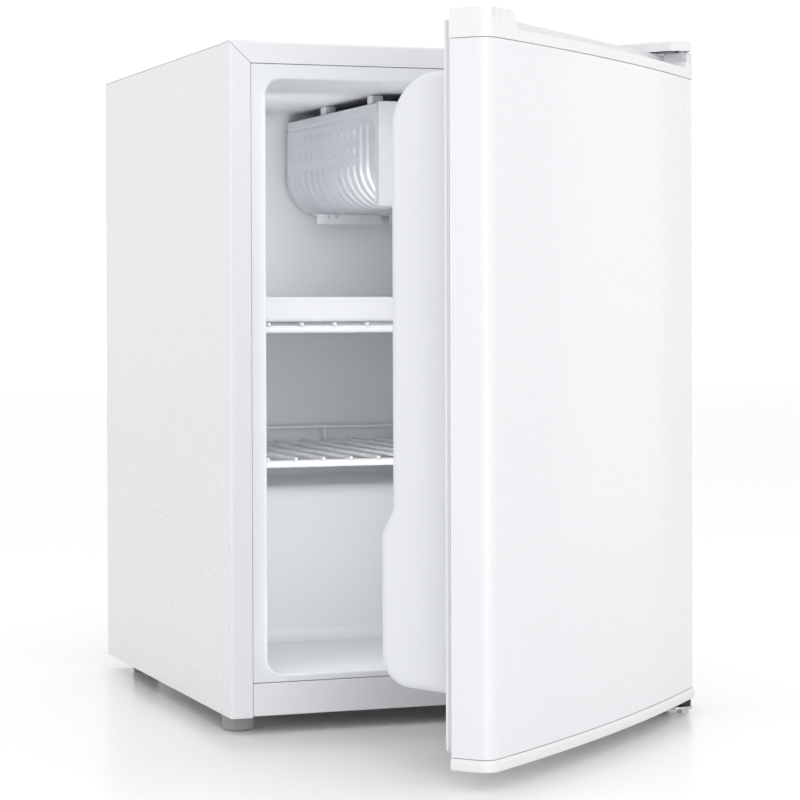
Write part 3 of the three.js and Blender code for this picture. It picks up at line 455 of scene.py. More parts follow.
def mesh_object(name, shape, place):
    """The shape as an object whose vertices are in metres, with its faces pointing outwards."""
    points, faces = shape
    mesh = bpy.data.meshes.new(name)
    mesh.from_pydata([place @ Vector(p) for p in points], [], faces)
    made = bpy.data.objects.new(name, mesh)
    bpy.context.scene.collection.objects.link(made)
    outward(made)
    return made


def outward(target):
    """Merges doubled points and turns every face outwards."""
    work = bmesh.new()
    work.from_mesh(target.data)
    bmesh.ops.remove_doubles(work, verts=work.verts, dist=1e-7)
    bmesh.ops.recalc_face_normals(work, faces=work.faces)
    work.to_mesh(target.data)
    work.free()


def modifier(target, kind, **settings):
    made = target.modifiers.new(kind.lower(), kind)
    for key, value in settings.items():
        setattr(made, key, value)
    return made


def bevelled(target, width, segments=3, angle=30):
    """Rounds the edges sharper than an angle, and shades the flats flat."""
    if width:
        modifier(target, "BEVEL", width=width / 1000, segments=segments, limit_method="ANGLE",
                 angle_limit=math.radians(angle), use_clamp_overlap=True, miter_outer="MITER_ARC")
    modifier(target, "WEIGHTED_NORMAL", keep_sharp=True, weight=80)
    return target


def creased(target, crease, width=0.0, segments=3, angle=30):
    """Smooth faces that meet in a sharp edge where they turn by more than the crease."""
    target.data.shade_smooth()
    target.data.set_sharp_from_angle(angle=math.radians(crease))
    return bevelled(target, width, segments, angle)


def without_own_normals(mesh):
    """The mesh without the normals that it was stored with."""
    for layer in [a for a in mesh.attributes if a.name == "custom_normal"]:
        mesh.attributes.remove(layer)
    return mesh


def applied(target):
    """Makes the object's modifiers part of its mesh."""
    graph = bpy.context.evaluated_depsgraph_get()
    mesh = bpy.data.meshes.new_from_object(target.evaluated_get(graph))
    old = target.data
    target.modifiers.clear()
    target.data = mesh
    bpy.data.meshes.remove(old)
    return target


def combined(target, other, operation="DIFFERENCE"):
    """Cuts the other object from the target, or joins it on, and removes the other."""
    modifier(target, "BOOLEAN", object=other, operation=operation, solver="EXACT")
    applied(target)
    bpy.data.objects.remove(other)
    return target


def piece(target, name, *stands_for):
    """Names the object, gives it its finish, and lets it ride with the CAD nodes it stands for."""
    target.name = name
    finish(target, stands_for[0])
    target.data.shade_smooth()
    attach(target, body_of(nodes[stands_for[0]])[0])
    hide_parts(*stands_for)
    return target


def finish(target, node):
    slot = SLOT_OF[node]
    target.data.materials.clear()
    target.data.materials.append(FINISH[slot])


def build(name, shape, node, place=CABINET, bevel=0.0, segments=3, angle=30):
    made = mesh_object(name, shape, place)
    bevelled(made, bevel, segments, angle)
    return piece(made, name, node)


# ---------------------------------------------------------------- camera and light


def camera():
    """Stands to the left of the cabinet's front, as far off as the perspective asks."""
    data = bpy.data.cameras.new("camera")
    data.sensor_width = 36
    data.lens = 114.55
    data.shift_y = -0.0751
    data.clip_start = 0.05
    data.clip_end = 60
    made = bpy.data.objects.new("camera", data)
    bpy.context.scene.collection.objects.link(made)
    yaw, pitch, roll = (math.radians(a) for a in (20.18, -0.71, -0.19))
    ahead = Vector((math.sin(yaw) * math.cos(pitch), math.cos(yaw) * math.cos(pitch), math.sin(pitch)))
    right = Vector((math.cos(yaw), -math.sin(yaw), 0))
    up = right.cross(ahead)
    right, up = (
        right * math.cos(roll) + up * math.sin(roll),
        up * math.cos(roll) - right * math.sin(roll),
    )
    turn = Matrix((right, up, -ahead)).transposed().to_4x4()
    made.matrix_world = Matrix.Translation((-0.86774, -2.25820, 0.38288)) @ turn
    bpy.context.scene.camera = made


def area_light(name, place, target, size, power):
    data = bpy.data.lights.new(name, "AREA")
    data.shape = "RECTANGLE"
    data.size, data.size_y = size
    data.energy = power
    made = bpy.data.objects.new(name, data)
    bpy.context.scene.collection.objects.link(made)
    made.location = place
    made.rotation_euler = (Vector(target) - Vector(place)).to_track_quat("-Z", "Y").to_euler()


def studio():
    world = bpy.data.worlds.new("studio")
    bpy.context.scene.world = world
    world.use_nodes = True
    tree = world.node_tree
    backdrop = tree.nodes["Background"]
    backdrop.inputs["Color"].default_value = (1.0, 1.0, 1.0, 1)
    way = tree.nodes.new("ShaderNodeTexCoord")
    parts = tree.nodes.new("ShaderNodeSeparateXYZ")
    link(tree, way, "Generated", parts, "Vector")
    glow = tree.nodes.new("ShaderNodeMapRange")
    glow.inputs["From Min"].default_value = -1.0
    glow.inputs["From Max"].default_value = 1.0
    glow.inputs["To Min"].default_value = 0.76
    glow.inputs["To Max"].default_value = 1.07
    link(tree, parts, "Y", glow, "Value")
    link(tree, glow, "Result", backdrop, "Strength")
    area_light("front", (-0.35, -2.8, 0.8), (0, 0, 0.3), (1.4, 1.6), 20)
    area_light("left", (-1.1, -1.0, 0.6), (-0.225, 0, 0.33), (0.8, 1.0), 0.5)
    area_light("right", (2.0, -1.6, 0.9), (0.1, -0.2, 0.3), (1.2, 1.6), 0.8)
    area_light("right_rear", (1.94, 0.42, 0.5), (0.05, -0.24, 0.35), (0.6, 1.9), 1.6)
    area_light("overhead", (0, -0.3, 2.4), (0, 0, 0.3), (2.2, 2.2), 7)
    area_light("cold_space_mouth", (-0.03, -0.075, 0.32), (-0.03, 0.4, 0.32), (0.32, 0.52), 0.33)
    area_light("cold_space_upper", (-0.118, 0.055, 0.455), (-0.11, 0.4, 0.42), (0.125, 0.12), 0.22)
    area_light("cold_space_middle", (-0.06, 0.03, 0.30), (-0.06, 0.4, 0.30), (0.26, 0.07), 0.05)
    area_light("cold_space_lower", (-0.03, -0.06, 0.16), (-0.03, 0.25, 0.05), (0.30, 0.12), 0.09)
    corners = [(-9, -9, 0), (9, -9, 0), (9, 9, 0), (-9, 9, 0)]
    floor = mesh_object("floor", (corners, [(0, 1, 2, 3)]), Matrix.Identity(4))
    floor.data.materials.append(surface(
        "floor", (0.98, 0.98, 0.98), (0.98, 0.98, 0.98), (0.22, 0.26), grain=900, relief=0.03))
    bpy.context.scene.view_settings.view_transform = "Standard"


camera()
studio()

# ---------------------------------------------------------------- CAD nodes kept as they are

PLAIN_BEVEL = 0.3
KEPT_BEVELS = {
    "freezer_back_plate": 0.6, "freezer_front_frame": 0.8, "thermostat_housing": 3.0,
    "freezer_hanger_front_left": 1.2, "freezer_hanger_front_right": 1.2,
    "freezer_hanger_rear_left": 1.2, "freezer_hanger_rear_right": 1.2,
    "door_rail_upper": 0.8, "door_rail_middle": 0.8, "door_rail_lower": 0.8,
    "top_hinge_bracket": 0.4, "bottom_hinge_bracket": 0.5,
    "compressor_base": 0.4, "compressor_relay_cover": 3.0,
    "condenser_clip_top_left": 0.8, "condenser_clip_top_right": 0.8,
    "condenser_clip_bottom_left": 0.8, "condenser_clip_bottom_right": 0.8,
}


# ---------------------------------------------------------------- door skin and caps


def door_outline(inset, stations=56, steps=10, back=DOOR_BACK):
    """The door from above: u from the hinge axis to the free edge, v outwards."""
    near = DOOR_NEAR + inset
    far = DOOR_FAR - inset
    middle = (near + far) / 2
    half = (DOOR_FAR - DOOR_NEAR) / 2

    def front(u):
        return DOOR_FRONT_EDGE + DOOR_BOW * (1 - ((u - middle) / half) ** 2) - inset

    corners = [(far, -back), (far, front(far), DOOR_CORNER - inset)]
    for i in range(1, stations):
        u = far + (near - far) * i / stations
        if DOOR_CORNER < u - near and DOOR_CORNER < far - u:
            corners.append((u, front(u)))
    corners += [(near, front(near), DOOR_CORNER - inset), (near, -back)]
    return rounded(corners, steps)


def door_panel():
    """The bowed steel skin, with a narrow return along each edge at the back."""
    lip = SKIN_RETURN
    outside = door_outline(0)
    inside = door_outline(SHEET, back=DOOR_BACK - SHEET)
    ends = [(DOOR_NEAR + lip, -DOOR_BACK), (DOOR_NEAR + lip, -DOOR_BACK + SHEET)]
    starts = [(DOOR_FAR - lip, -DOOR_BACK + SHEET), (DOOR_FAR - lip, -DOOR_BACK)]
    ring = outside + ends + inside[::-1] + starts
    shape = prism(ring, BOTTOM_CAP_TOP + 0.4, TOP_CAP_BOTTOM - 0.4)
    build("door_skin", shape, "door_outer_panel", DOOR, 0.25)


def door_core():
    """The foam behind the skin; the rim's own foam is inside the lining, out of sight."""
    outline = door_outline(SHEET + GAP, back=DOOR_BACK - SHEET - GAP)
    build("door_filling", prism(outline, BOTTOM_CAP_TOP + GAP, TOP_CAP_BOTTOM - GAP), "door_foam", DOOR)


def door_top_cap():
    """The moulded cap with the grip scooped out of its front edge."""
    cap = mesh_object("cap", prism(door_outline(-CAP_PROUD), TOP_CAP_BOTTOM, DOOR_TOP), DOOR)
    left = DOOR_NEAR + GRIP_BLOCK_HINGE
    right = DOOR_FAR - GRIP_BLOCK_FREE
    lip = TOP_CAP_BOTTOM + GRIP_LIP_HEIGHT
    flare = (DOOR_TOP - lip) * 0.35
    scoop = prism(rounded([(left, lip, 9), (right, lip, 9), (right + flare, DOOR_TOP + 1),
                           (left - flare, DOOR_TOP + 1)], 12), -GRIP_BACK, 25, "xz")
    pocket = prism(rectangle(left + 4, right - 4, -GRIP_BACK, DOOR_FRONT_EDGE - 5, 3),
                   TOP_CAP_BOTTOM + 4, DOOR_TOP + 1)
    rail = block(left, right, -DOOR_BACK - 1, -GRIP_BACK + 1, DOOR_TOP - GRIP_RAIL_DROP, DOOR_TOP + 1)
    bore = turned((0, 0, 0), [(HINGE_BORE, TOP_CAP_BOTTOM + 6), (HINGE_BORE, DOOR_TOP + 1)])
    for i, cutter in enumerate((scoop, pocket, rail, bore)):
        combined(cap, mesh_object(f"cutter{i}", cutter, DOOR))
    bevelled(cap, 0.9, 3, 32)
    piece(cap, "door_grip_cap", "door_top_cap")


def door_bottom_cap():
    """The lower cap stands proud of the skin and ends in a sloped upper edge."""
    steps = [(DOOR_BOTTOM, -1.1), (DOOR_BOTTOM + 0.7, -1.6), (DOOR_BOTTOM + 1.5, -1.75),
             (BOTTOM_CAP_TOP - 3.2, -1.75), (BOTTOM_CAP_TOP - 2.2, -1.6), (BOTTOM_CAP_TOP, -0.3)]
    rings = [[(p[0], p[1], z) for p in door_outline(inset)] for z, inset in steps]
    cap = mesh_object("cap", loft(rings), DOOR)
    bore = turned((0, 0, 0), [(HINGE_BORE, DOOR_BOTTOM - 1), (HINGE_BORE, BOTTOM_CAP_TOP - 1)])
    combined(cap, mesh_object("bore", bore, DOOR))
    bevelled(cap, 0.3, 2, 40)
    piece(cap, "door_foot_cap", "door_bottom_cap")


# ---------------------------------------------------------------- door lining and seal


def door_lining():
    """A drawn sheet: a flat border, a deep rounded rim, and pockets sunk inside the rim."""
    slope = RIM_DRAFT / (RIM_DEPTH - DOOR_LINER_BACK)
    side = rounded([
        (-20, RIM_TOP),
        (-RIM_DEPTH, RIM_TOP, 45),
        (-RIM_DEPTH, 217, 12),
        (-RIM_DEEP, 195, 12),
        (-RIM_DEEP, RIM_BOTTOM, 27),
        (-20, RIM_BOTTOM - 5),
    ], 14)

    def drawn_in(v):
        return RIM_SIDE + max(0, -v - DOOR_LINER_BACK) * slope

    rings = [
        [(edge + way * drawn_in(v), v, z) for v, z in side]
        for edge, way in ((DOOR_NEAR, 1), (DOOR_FAR, -1))
    ]
    rim = mesh_object("rim", loft(rings), DOOR)
    modifier(rim, "BEVEL", width=0.0085, segments=6, limit_method="ANGLE",
             angle_limit=math.radians(50))
    applied(rim)
    mouth = prism(rectangle(POCKET_NEAR, POCKET_FAR, POCKET_LOW, POCKET_HIGH, 10),
                  -RIM_DEEP - 9, -POCKET_SHELF_DEPTH, "xz")
    cutters = [mouth]
    levels = [POCKET_LOW, *(z for pair in POCKET_SHELVES for z in pair), POCKET_HIGH]
    for low, high in zip(levels[::2], levels[1::2]):
        cutters.append(prism(rectangle(POCKET_NEAR, POCKET_FAR, low, high, 7),
                             -POCKET_SHELF_DEPTH - 4, -POCKET_FLOOR, "xz"))
    for i, cutter in enumerate(cutters):
        combined(rim, mesh_object(f"cutter{i}", cutter, DOOR))
    modifier(rim, "BEVEL", width=0.0022, segments=3, limit_method="ANGLE",
             angle_limit=math.radians(50))
    applied(rim)
    behind = block(-50, 460, -DOOR_LINER_BACK + LINER_SHEET, 0, 0, 640)
    combined(rim, mesh_object("behind", behind, DOOR))
    border = prism(rectangle(DOOR_NEAR + LINER_EDGE_NEAR, DOOR_FAR - LINER_EDGE_FAR,
                             DOOR_BOTTOM + 6, DOOR_TOP - 6, 4),
                   -DOOR_LINER_BACK, -DOOR_LINER_BACK + LINER_SHEET, "xz")
    combined(rim, mesh_object("border", border, DOOR), "UNION")
    creased(rim, 40)
    piece(rim, "door_lining", "door_liner")


def door_seal():
    """A bellows seal: a flat base, a folded wall and a soft cushion that meets the cabinet."""
    near = -3
    far = DOOR_FAR - LINER_EDGE_FAR
    low = DOOR_BOTTOM + 13
    high = DOOR_TOP - 8
    base = -DOOR_LINER_BACK - GAP
    section = [
        (0.6, 0.0), (0.2, 0.3), (0.2, 1.3), (1.4, 1.7), (1.6, 2.0), (1.4, 2.3), (0.2, 2.7), (0.0, 3.3),
        (0.1, 4.1), (0.5, 4.55), (1.1, 4.7), (6.0, 4.7), (8.6, 4.5), (9.5, 4.0), (9.7, 3.3),
        (9.4, 2.4), (10.2, 1.7), (11.4, 1.3), (13.6, 1.0), (14.0, 0.5), (13.8, 0.0),
    ]
    rings = []
    for inward, lift in section:
        outline = rectangle(near + inward, far - inward, low + inward, high - inward,
                            max(0.4, 3.5 - inward * 0.2), 6)
        rings.append([(u, base - lift, z) for u, z in outline])
    build("door_seal", loft(rings, around=True), "door_gasket", DOOR)


# ---------------------------------------------------------------- cold space


def cold_space():
    """The liner: border, opening with a rolled edge, sill, machine step and a rounded back."""
    def ring(y, low, grow=0.0, shrink=0.0, corner=15.0):
        outline = rectangle(CAVITY_LEFT - grow + shrink, CAVITY_RIGHT + grow - shrink,
                            low - grow + shrink, CAVITY_TOP + grow - shrink,
                            max(corner + grow - shrink, 1.0), 10)
        return [(x, y, z) for x, z in outline]

    sill = CAVITY_BOTTOM + SILL_HEIGHT
    roll = 2.6
    profile = [(LINER_FRONT + roll * (1 - math.sin(math.radians(a))), sill,
                roll * (1 - math.cos(math.radians(a)))) for a in (90, 72, 54, 36, 18, 0)]
    floor = [(SILL_DEPTH - 3, sill), (SILL_DEPTH + 1, sill - 0.5),
             (SILL_DEPTH + 7, CAVITY_BOTTOM + 0.4), (SILL_DEPTH + 11, CAVITY_BOTTOM)]
    step = 14
    floor += arc(STEP_WALL - step, CAVITY_BOTTOM + step, step, -90, 0, 8)
    floor += arc(STEP_WALL + 3 + step, STEP_TOP - step, step, 180, 90, 8)
    bend = 22.5
    back = [(CAVITY_BACK - bend + bend * math.sin(math.radians(a)),
             bend * (1 - math.cos(math.radians(a)))) for a in range(0, 91, 10)]

    inner = [ring(y, z, grow=wide) for y, z, wide in profile]
    inner += [ring(y, z) for y, z in floor]
    inner += [ring(y, STEP_TOP, shrink=s, corner=15 + 8 * s / bend) for y, s in back]
    left = SIDE_FLANGE + SEAM
    right = CABINET_WIDTH - SIDE_FLANGE - SEAM
    low = RAIL_TOP + SEAM
    high = SHELL_TOP - TOP_FLANGE - SEAM

    def border(y, inset):
        outline = rectangle(left + inset, right - inset, low + inset, high - inset, 1.0, 10)
        return [(x, y, z) for x, z in outline]

    outer = [ring(LINER_FRONT + LINER_SHEET, sill, grow=LINER_SHEET)]
    outer += [ring(y + LINER_SHEET * (y > STEP_WALL - step), z, grow=LINER_SHEET) for y, z in floor]
    outer += [ring(y + LINER_SHEET, STEP_TOP, grow=LINER_SHEET, shrink=s, corner=15 + 8 * s / bend)
              for y, s in back]
    rings = inner[::-1] + [
        border(LINER_FRONT, 0.4), border(LINER_FRONT + 0.4, 0), border(LINER_FRONT + LINER_SHEET, 0),
    ] + outer
    liner = mesh_object("liner", loft(rings), CABINET)
    for top in (UPPER_LEDGE, LOWER_LEDGE):
        for x0, x1 in ((CAVITY_LEFT - 0.8, CAVITY_LEFT + 9), (CAVITY_RIGHT - 9, CAVITY_RIGHT + 0.8)):
            ledge = mesh_object("ledge", block(x0, x1, 93, 410, top - 7, top), CABINET)
            modifier(ledge, "BEVEL", width=0.0022, segments=3)
            applied(ledge)
            combined(liner, ledge, "UNION")
    creased(liner, 35)
    piece(liner, "cold_space_liner", "inner_liner")


def wire_shelf(name, height, pitch):
    """Bars across front and back, and wires along; every third wire turns up into the back stop."""
    left = CAVITY_LEFT + SHELF_SIDE
    right = CAVITY_RIGHT - SHELF_SIDE
    front = 85.5
    back = CAVITY_BACK - 10
    wire = 1.75
    wire_z = height + 8.05
    side_z = height + 3.6
    stop_z = wire_z + 14
    rear_z = wire_z - 3.6
    middle = (left + right) / 2
    count = int((right - left - 14) / 2 / pitch)
    bars = [tube([(left, front, height + 3.5), (right, front, height + 3.5)], 3.5, 20, True)]
    for x in (left + 2.6, right - 2.6):
        bars.append(tube([(x, front, side_z), (x, back, side_z)], 2.6, 16, True))
    bars.append(tube([(left, back - 4, rear_z), (right, back - 4, rear_z)], 2.4, 16, True))
    bars.append(tube([(left + 6, back, stop_z), (right - 6, back, stop_z)], wire, 12, True))
    for i in range(-count, count + 1):
        x = middle + i * pitch
        if i % 3:
            bars.append(tube([(x, 79.5, wire_z), (x, back + 1, wire_z)], wire, 12, True))
        else:
            path = [(x, 79.5, wire_z), (x, back - 4, wire_z)]
            path += [(x, y, z) for y, z in arc(back - 4, wire_z + 4, 4, -90, 0, 5)]
            bars.append(tube([*path, (x, back, stop_z)], wire, 12, True))
    build(name + "_wires", together(*bars), name)


def drip_tray():
    """A shallow moulded tray with drawn-in walls and a narrow rolled lip."""
    left = CAVITY_LEFT + SHELF_SIDE
    right = CAVITY_RIGHT - SHELF_SIDE
    front = 87
    back = 393
    low = UPPER_SHELF + TRAY_ABOVE_SHELF
    high = low + TRAY_HEIGHT

    def ring(z, inset, draft, radius, lip=0.0):
        outline = rectangle(left + inset + draft - lip, right - inset - draft + lip,
                            front + inset - lip, back - inset + lip, radius, 8)
        return [(x, y, z) for x, y in outline]

    rings = [
        ring(low, 4, 6, 8), ring(low + 0.4, 2.2, 6, 9),
        ring(low + 1.5, 0.7, 5.8, 10), ring(low + 4, 0, 5.2, 10),
        ring(high - 5.0, 0, 1.2, 10), ring(high - 4.0, 0, 1.0, 10, 0.2), ring(high - 4.0, 0, 0, 10, 0.5),
        ring(high - 0.7, 0, 0, 10, 0.5), ring(high - 0.2, 0, 0, 10, 0.2), ring(high, 0, 0, 10, -0.5),
        ring(high, 2.0, 0.2, 8.5), ring(high - 0.5, 2.5, 0.4, 8),
        ring(low + 5, 2, 5.2, 8), ring(low + 3, 2.8, 5.8, 7.5), ring(low + 2, 4.6, 6, 6),
    ]
    build("meltwater_tray", loft(rings), "drip_tray")


# ---------------------------------------------------------------- freezer box


def evaporator():
    """The bent aluminium box with a fold line, short dashes and long ribs pressed into it."""
    thickness = 2.0
    corner = 40.0
    path = []

    def along(a, b, count):
        return [tuple(Vector(a).lerp(Vector(b), k / count)) for k in range(count)]

    left, right, top, low = FREEZER_LEFT, FREEZER_RIGHT, FREEZER_TOP, FREEZER_BOTTOM
    path += along((left, top), (left, low + corner), 60)
    path += arc(left + corner, low + corner, corner, 180, 270, 40)[:-1]
    path += along((left + corner, low), (right - corner, low), 30)
    path += arc(right - corner, low + corner, corner, 270, 360, 40)[:-1]
    path += along((right, low + corner), (right, top), 60)
    path.append((right, top))
    rows = [FREEZER_FRONT + k * (FREEZER_BACK - FREEZER_FRONT) / 210 for k in range(211)]

    def soft(x):
        x = min(max(x, 0.0), 1.0)
        return x * x * (3 - 2 * x)

    def pill(along_rib, across, half_length, half_width):
        over = max(abs(along_rib) - half_length + half_width, 0.0)
        reach = math.hypot(over, across)
        return soft(1 - reach / half_width)

    def relief(x, z, y):
        wall = min(x - left, right - x)
        drop = top - z
        if drop < 14:
            return -0.9 * soft(1 - abs(drop - 9.6) / 1.7)
        k = round((y - FREEZER_FRONT - RIB_FIRST) / RIB_PITCH)
        across = y - (FREEZER_FRONT + RIB_FIRST + k * RIB_PITCH)
        if not 0 <= k < RIB_COUNT:
            return 0.0
        ridge = soft(1 - abs(across) / RIB_HALF_WIDTH)
        fade = soft((44 - wall) / 10)
        height = 0.0
        if k < TALL_RIBS:
            height = ridge * fade * soft((TALL_RIB_TOP - z) / 5)
        elif wall < 1:
            height = max(pill(z - level, across, 6.5, 4.6) for level in DASH_HEIGHTS)
        if z < RIB_TOP:
            height = max(height, ridge * fade * soft((RIB_TOP - z) / 5))
        return RIB_LIFT * height

    count = len(path)
    outside = []
    inside = []
    for y in rows:
        outer_ring = []
        inner_ring = []
        for i, (x, z) in enumerate(path):
            before = Vector(path[max(i - 1, 0)])
            after = Vector(path[min(i + 1, count - 1)])
            way = (after - before).normalized()
            normal = Vector((way.y, -way.x))
            lift = relief(x, z, y)
            spot = Vector((x, z))
            outer = spot + normal * (lift - 0.35)
            inner = spot - normal * thickness
            outer_ring.append((outer.x, y, outer.y))
            inner_ring.append((inner.x, y, inner.y))
        outside.append(outer_ring)
        inside.append(inner_ring[::-1])
    rings = [a + b for a, b in zip(outside, inside)]
    build("evaporator_box", loft(rings), "evaporator")


def freezer_flap():
    """The white flap: a plain face with softened edges, and a pin along its top between the ears."""
    face = block(FREEZER_LEFT, FREEZER_RIGHT, FLAP_FRONT, FLAP_BACK, FREEZER_BOTTOM - 1, FREEZER_TOP + 1.5)
    plate = mesh_object("plate", face, CABINET)
    modifier(plate, "BEVEL", width=0.0016, segments=4)
    applied(plate)
    for x0, x1 in ((FREEZER_LEFT - 1, FREEZER_LEFT + 4.4), (FREEZER_RIGHT - 4.4, FREEZER_RIGHT + 1)):
        notch = block(x0, x1, FLAP_BACK - 4.6, FLAP_BACK + 1, FREEZER_TOP - 8.2, FREEZER_TOP + 3)
        combined(plate, mesh_object("notch", notch, CABINET))
    half = [(1.5, 1), (1.5, 4.8), (3.3, 4.8), (3.5, 5.2)]
    profile = [(radius, FREEZER_LEFT + inward) for radius, inward in half]
    profile += [(radius, FREEZER_RIGHT - inward) for radius, inward in half[::-1]]
    bar = turned((0, FLAP_BACK, FREEZER_TOP - 3), profile, 32, "x")
    combined(plate, mesh_object("bar", bar, CABINET), "UNION")
    creased(plate, 35)
    piece(plate, "freezer_door", "freezer_flap")


def cabinet_filling():
    """The foam, held back from the seams between the panels so that they stay dark and even."""
    mesh = without_own_normals(nodes["cabinet_foam"].data.copy())
    filling = bpy.data.objects.new("filling", mesh)
    bpy.context.scene.collection.objects.link(filling)
    front = block(-5, CABINET_WIDTH + 5, -5, 7, 0, 640)
    combined(filling, mesh_object("front", front, CABINET))
    bevelled(filling, 0)
    piece(filling, "cabinet_filling", "cabinet_foam")


# ---------------------------------------------------------------- feet and hinges


def front_foot(x, node):
    """A levelling foot with a ribbed rim for the fingers, on a short stem."""
    centre = (x, 33, 0)
    top = SHELL_BOTTOM + 0.7
    profile = [(11.5, 0), (12.6, 0.2), (13.4, 0.9), (14.0, 1.9), (14.5, 2.6), (14.5, top - 1.2),
               (14.1, top - 0.4), (13.4, top), (5, top), (5, top + 16.3), (4.2, top + 17)]
    build(node + "_ribbed", turned(centre, profile, 216, ribs=36, rib_depth=0.55), node)


def rear_foot(x, node):
    """A plain fixed foot, softened where it meets the floor."""
    profile = [(10.8, 0), (12, 0.3), (12.8, 1.2), (13, 2.2),
               (13, SHELL_BOTTOM + 0.2), (12.5, SHELL_BOTTOM + 0.7)]
    build(node + "_round", turned((x, CABINET_DEPTH - 36, 0), profile, 72), node)


def hinge_cover():
    """A low moulded cap over the hinge plate, its far end rounded, open below."""
    low = DOOR_TOP + 1.3
    high = SHELL_TOP + 8.8
    x0 = CABINET_WIDTH - 67
    x1 = HINGE_X + 6.5
    front = HINGE_Y - 11.5

    def outline(inset):
        return rounded([
            (x0 + inset, 52 - inset, 6 - inset), (x0 + inset, inset, 12 - inset),
            (HINGE_X - 16 + inset, front + inset, 10 - inset), (x1 - inset, front + inset, 6 - inset),
            (x1 - inset, 52 - inset, 6 - inset),
        ], 10)

    edge = 2.2
    rings = [[(*p, low) for p in outline(0)]]
    for a in range(0, 91, 15):
        t = math.radians(a)
        rings.append([(*p, high - edge + edge * math.sin(t)) for p in outline(edge * (1 - math.cos(t)))])
    cover = mesh_object("cover", loft(rings), CABINET)
    inside = mesh_object("inside", prism(outline(1.5), low - 1, high - 1.6), CABINET)
    combined(cover, inside)
    rear = mesh_object("rear", block(0, CABINET_WIDTH, -0.7, 100, low - 1, SHELL_TOP + 1.1), CABINET)
    combined(cover, rear)
    creased(cover, 35)
    piece(cover, "hinge_cap", "top_hinge_cover")


def hinge_pin():
    """The lower pin: a shank under the door and a hexagon head below its bracket."""
    plate_low = SHELL_BOTTOM - 9
    head_high = plate_low - GAP
    head_low = head_high - 4.2
    size = 11 / math.sqrt(3)
    hexagon = [(HINGE_X + size * math.cos(math.radians(60 * k)),
                HINGE_Y + size * math.sin(math.radians(60 * k))) for k in range(6)]
    head = prism(hexagon, head_low, head_high)
    shank = turned((HINGE_X, HINGE_Y, 0), [(4, head_high - 0.5), (4, 21), (3.4, 22.5)], 32)
    build("hinge_bolt", together(head, shank), "bottom_hinge_pin", bevel=0.5)


def hinge_bush():
    """The ring on the lower pin that carries the door."""
    low = SHELL_BOTTOM - 6.2
    high = SHELL_BOTTOM - 0.6
    section = [(HINGE_BORE, low), (7.1, low), (7.5, low + 0.5),
               (7.5, high - 0.5), (7.1, high), (HINGE_BORE, high)]
    angles = [2 * math.pi * j / 40 for j in range(40)]
    rings = [[(HINGE_X + r * math.cos(t), HINGE_Y + r * math.sin(t), z) for t in angles] for r, z in section]
    build("hinge_bush", loft(rings, around=True), "bottom_hinge_bush")


# ---------------------------------------------------------------- machine bay


def compressor():
    """A domed can in two halves with a rolled joint, on its base plate."""
    low = BASE_TOP + 11.6
    top = low + 116
    r = 62
    pot = [(r * 0.5, low), (r * 0.6, low), (r * 0.8, low + 3), (r * 0.92, low + 9)]
    pot += [(r * 0.98, low + 16), (r, low + 24), (r, low + 55), (r + 1.7, low + 55.8)]
    pot += [(r + 2, low + 57), (r + 2, low + 62), (r + 1.7, low + 63.2), (r, low + 64)]
    for a in range(0, 91, 9):
        t = math.radians(a)
        pot.append((r * (0.45 + 0.55 * math.cos(t)), top - 27 + 27 * math.sin(t)))
    pot.append((2, top))
    body = turned((COMPRESSOR_X, COMPRESSOR_Y, 0), pot, 96)
    plate = prism(rectangle(COMPRESSOR_X - 88, COMPRESSOR_X + 88, COMPRESSOR_Y - 52, COMPRESSOR_Y + 52, 12),
                  low, low + 3)
    can = mesh_object("can", body, CABINET)
    combined(can, mesh_object("plate", plate, CABINET), "UNION")
    creased(can, 40, 0.6, 2, 50)
    piece(can, "compressor_can", "compressor")


def grommets():
    """Four waisted rubber feet between the compressor and its base."""
    profile = [(8.2, 0), (9.6, 0.4), (10, 1.4), (9.8, 3.2), (8.6, 4.4),
               (8.6, 6.0), (9.8, 7.4), (10, 9.4), (9.4, 10.6), (8.2, 11)]
    for i, (a, b) in enumerate(((-1, -1), (-1, 1), (1, -1), (1, 1))):
        centre = (COMPRESSOR_X + a * 76, COMPRESSOR_Y + b * 40, BASE_TOP + 0.3)
        build(f"grommet_{i + 1}", turned(centre, profile, 48), f"compressor_grommet_{i + 1}")


def condenser():
    """One serpentine tube with a grid of fine wires welded to its front and back."""
    y = COIL_Y
    left = COIL_SIDE
    right = CABINET_WIDTH - COIL_SIDE
    top = SHELL_TOP - 42
    bottom = COIL_BOTTOM
    turns = 8
    pitch = (top - bottom) / turns
    bend = pitch / 2
    radius = 2.4
    path = [(left, y, BASE_TOP + 152), (left, y, bottom - 18), (left + 1.5, y, bottom - 10),
            (left + 6, y, bottom - 3.5), (left + bend * 0.7, y, bottom - 0.4), (left + bend + 4, y, bottom)]
    for row in range(turns + 1):
        z = bottom + row * pitch
        way = 1 if row % 2 == 0 else -1
        start, end = (left + bend, right - bend)[::way]
        path += [(start + (end - start) * k / 6, y, z) for k in range(1, 7)]
        if row < turns:
            for angle in range(-75, 90, 15):
                t = math.radians(angle)
                path.append((end + way * bend * math.cos(t), y, z + bend + bend * math.sin(t)))
            path.append((end, y, z + pitch))
    shapes = [tube(path, radius, 14)]
    wires = 34
    for i in range(wires):
        x = left + bend + (right - left - 2 * bend) * i / (wires - 1)
        depth = y + (1 if i % 2 else -1) * (radius + 0.5)
        shapes.append(tube([(x, depth, bottom - 6), (x, depth, top + 6)], 0.8, 8, True))
    build("condenser_grid", together(*shapes), "condenser_coil")


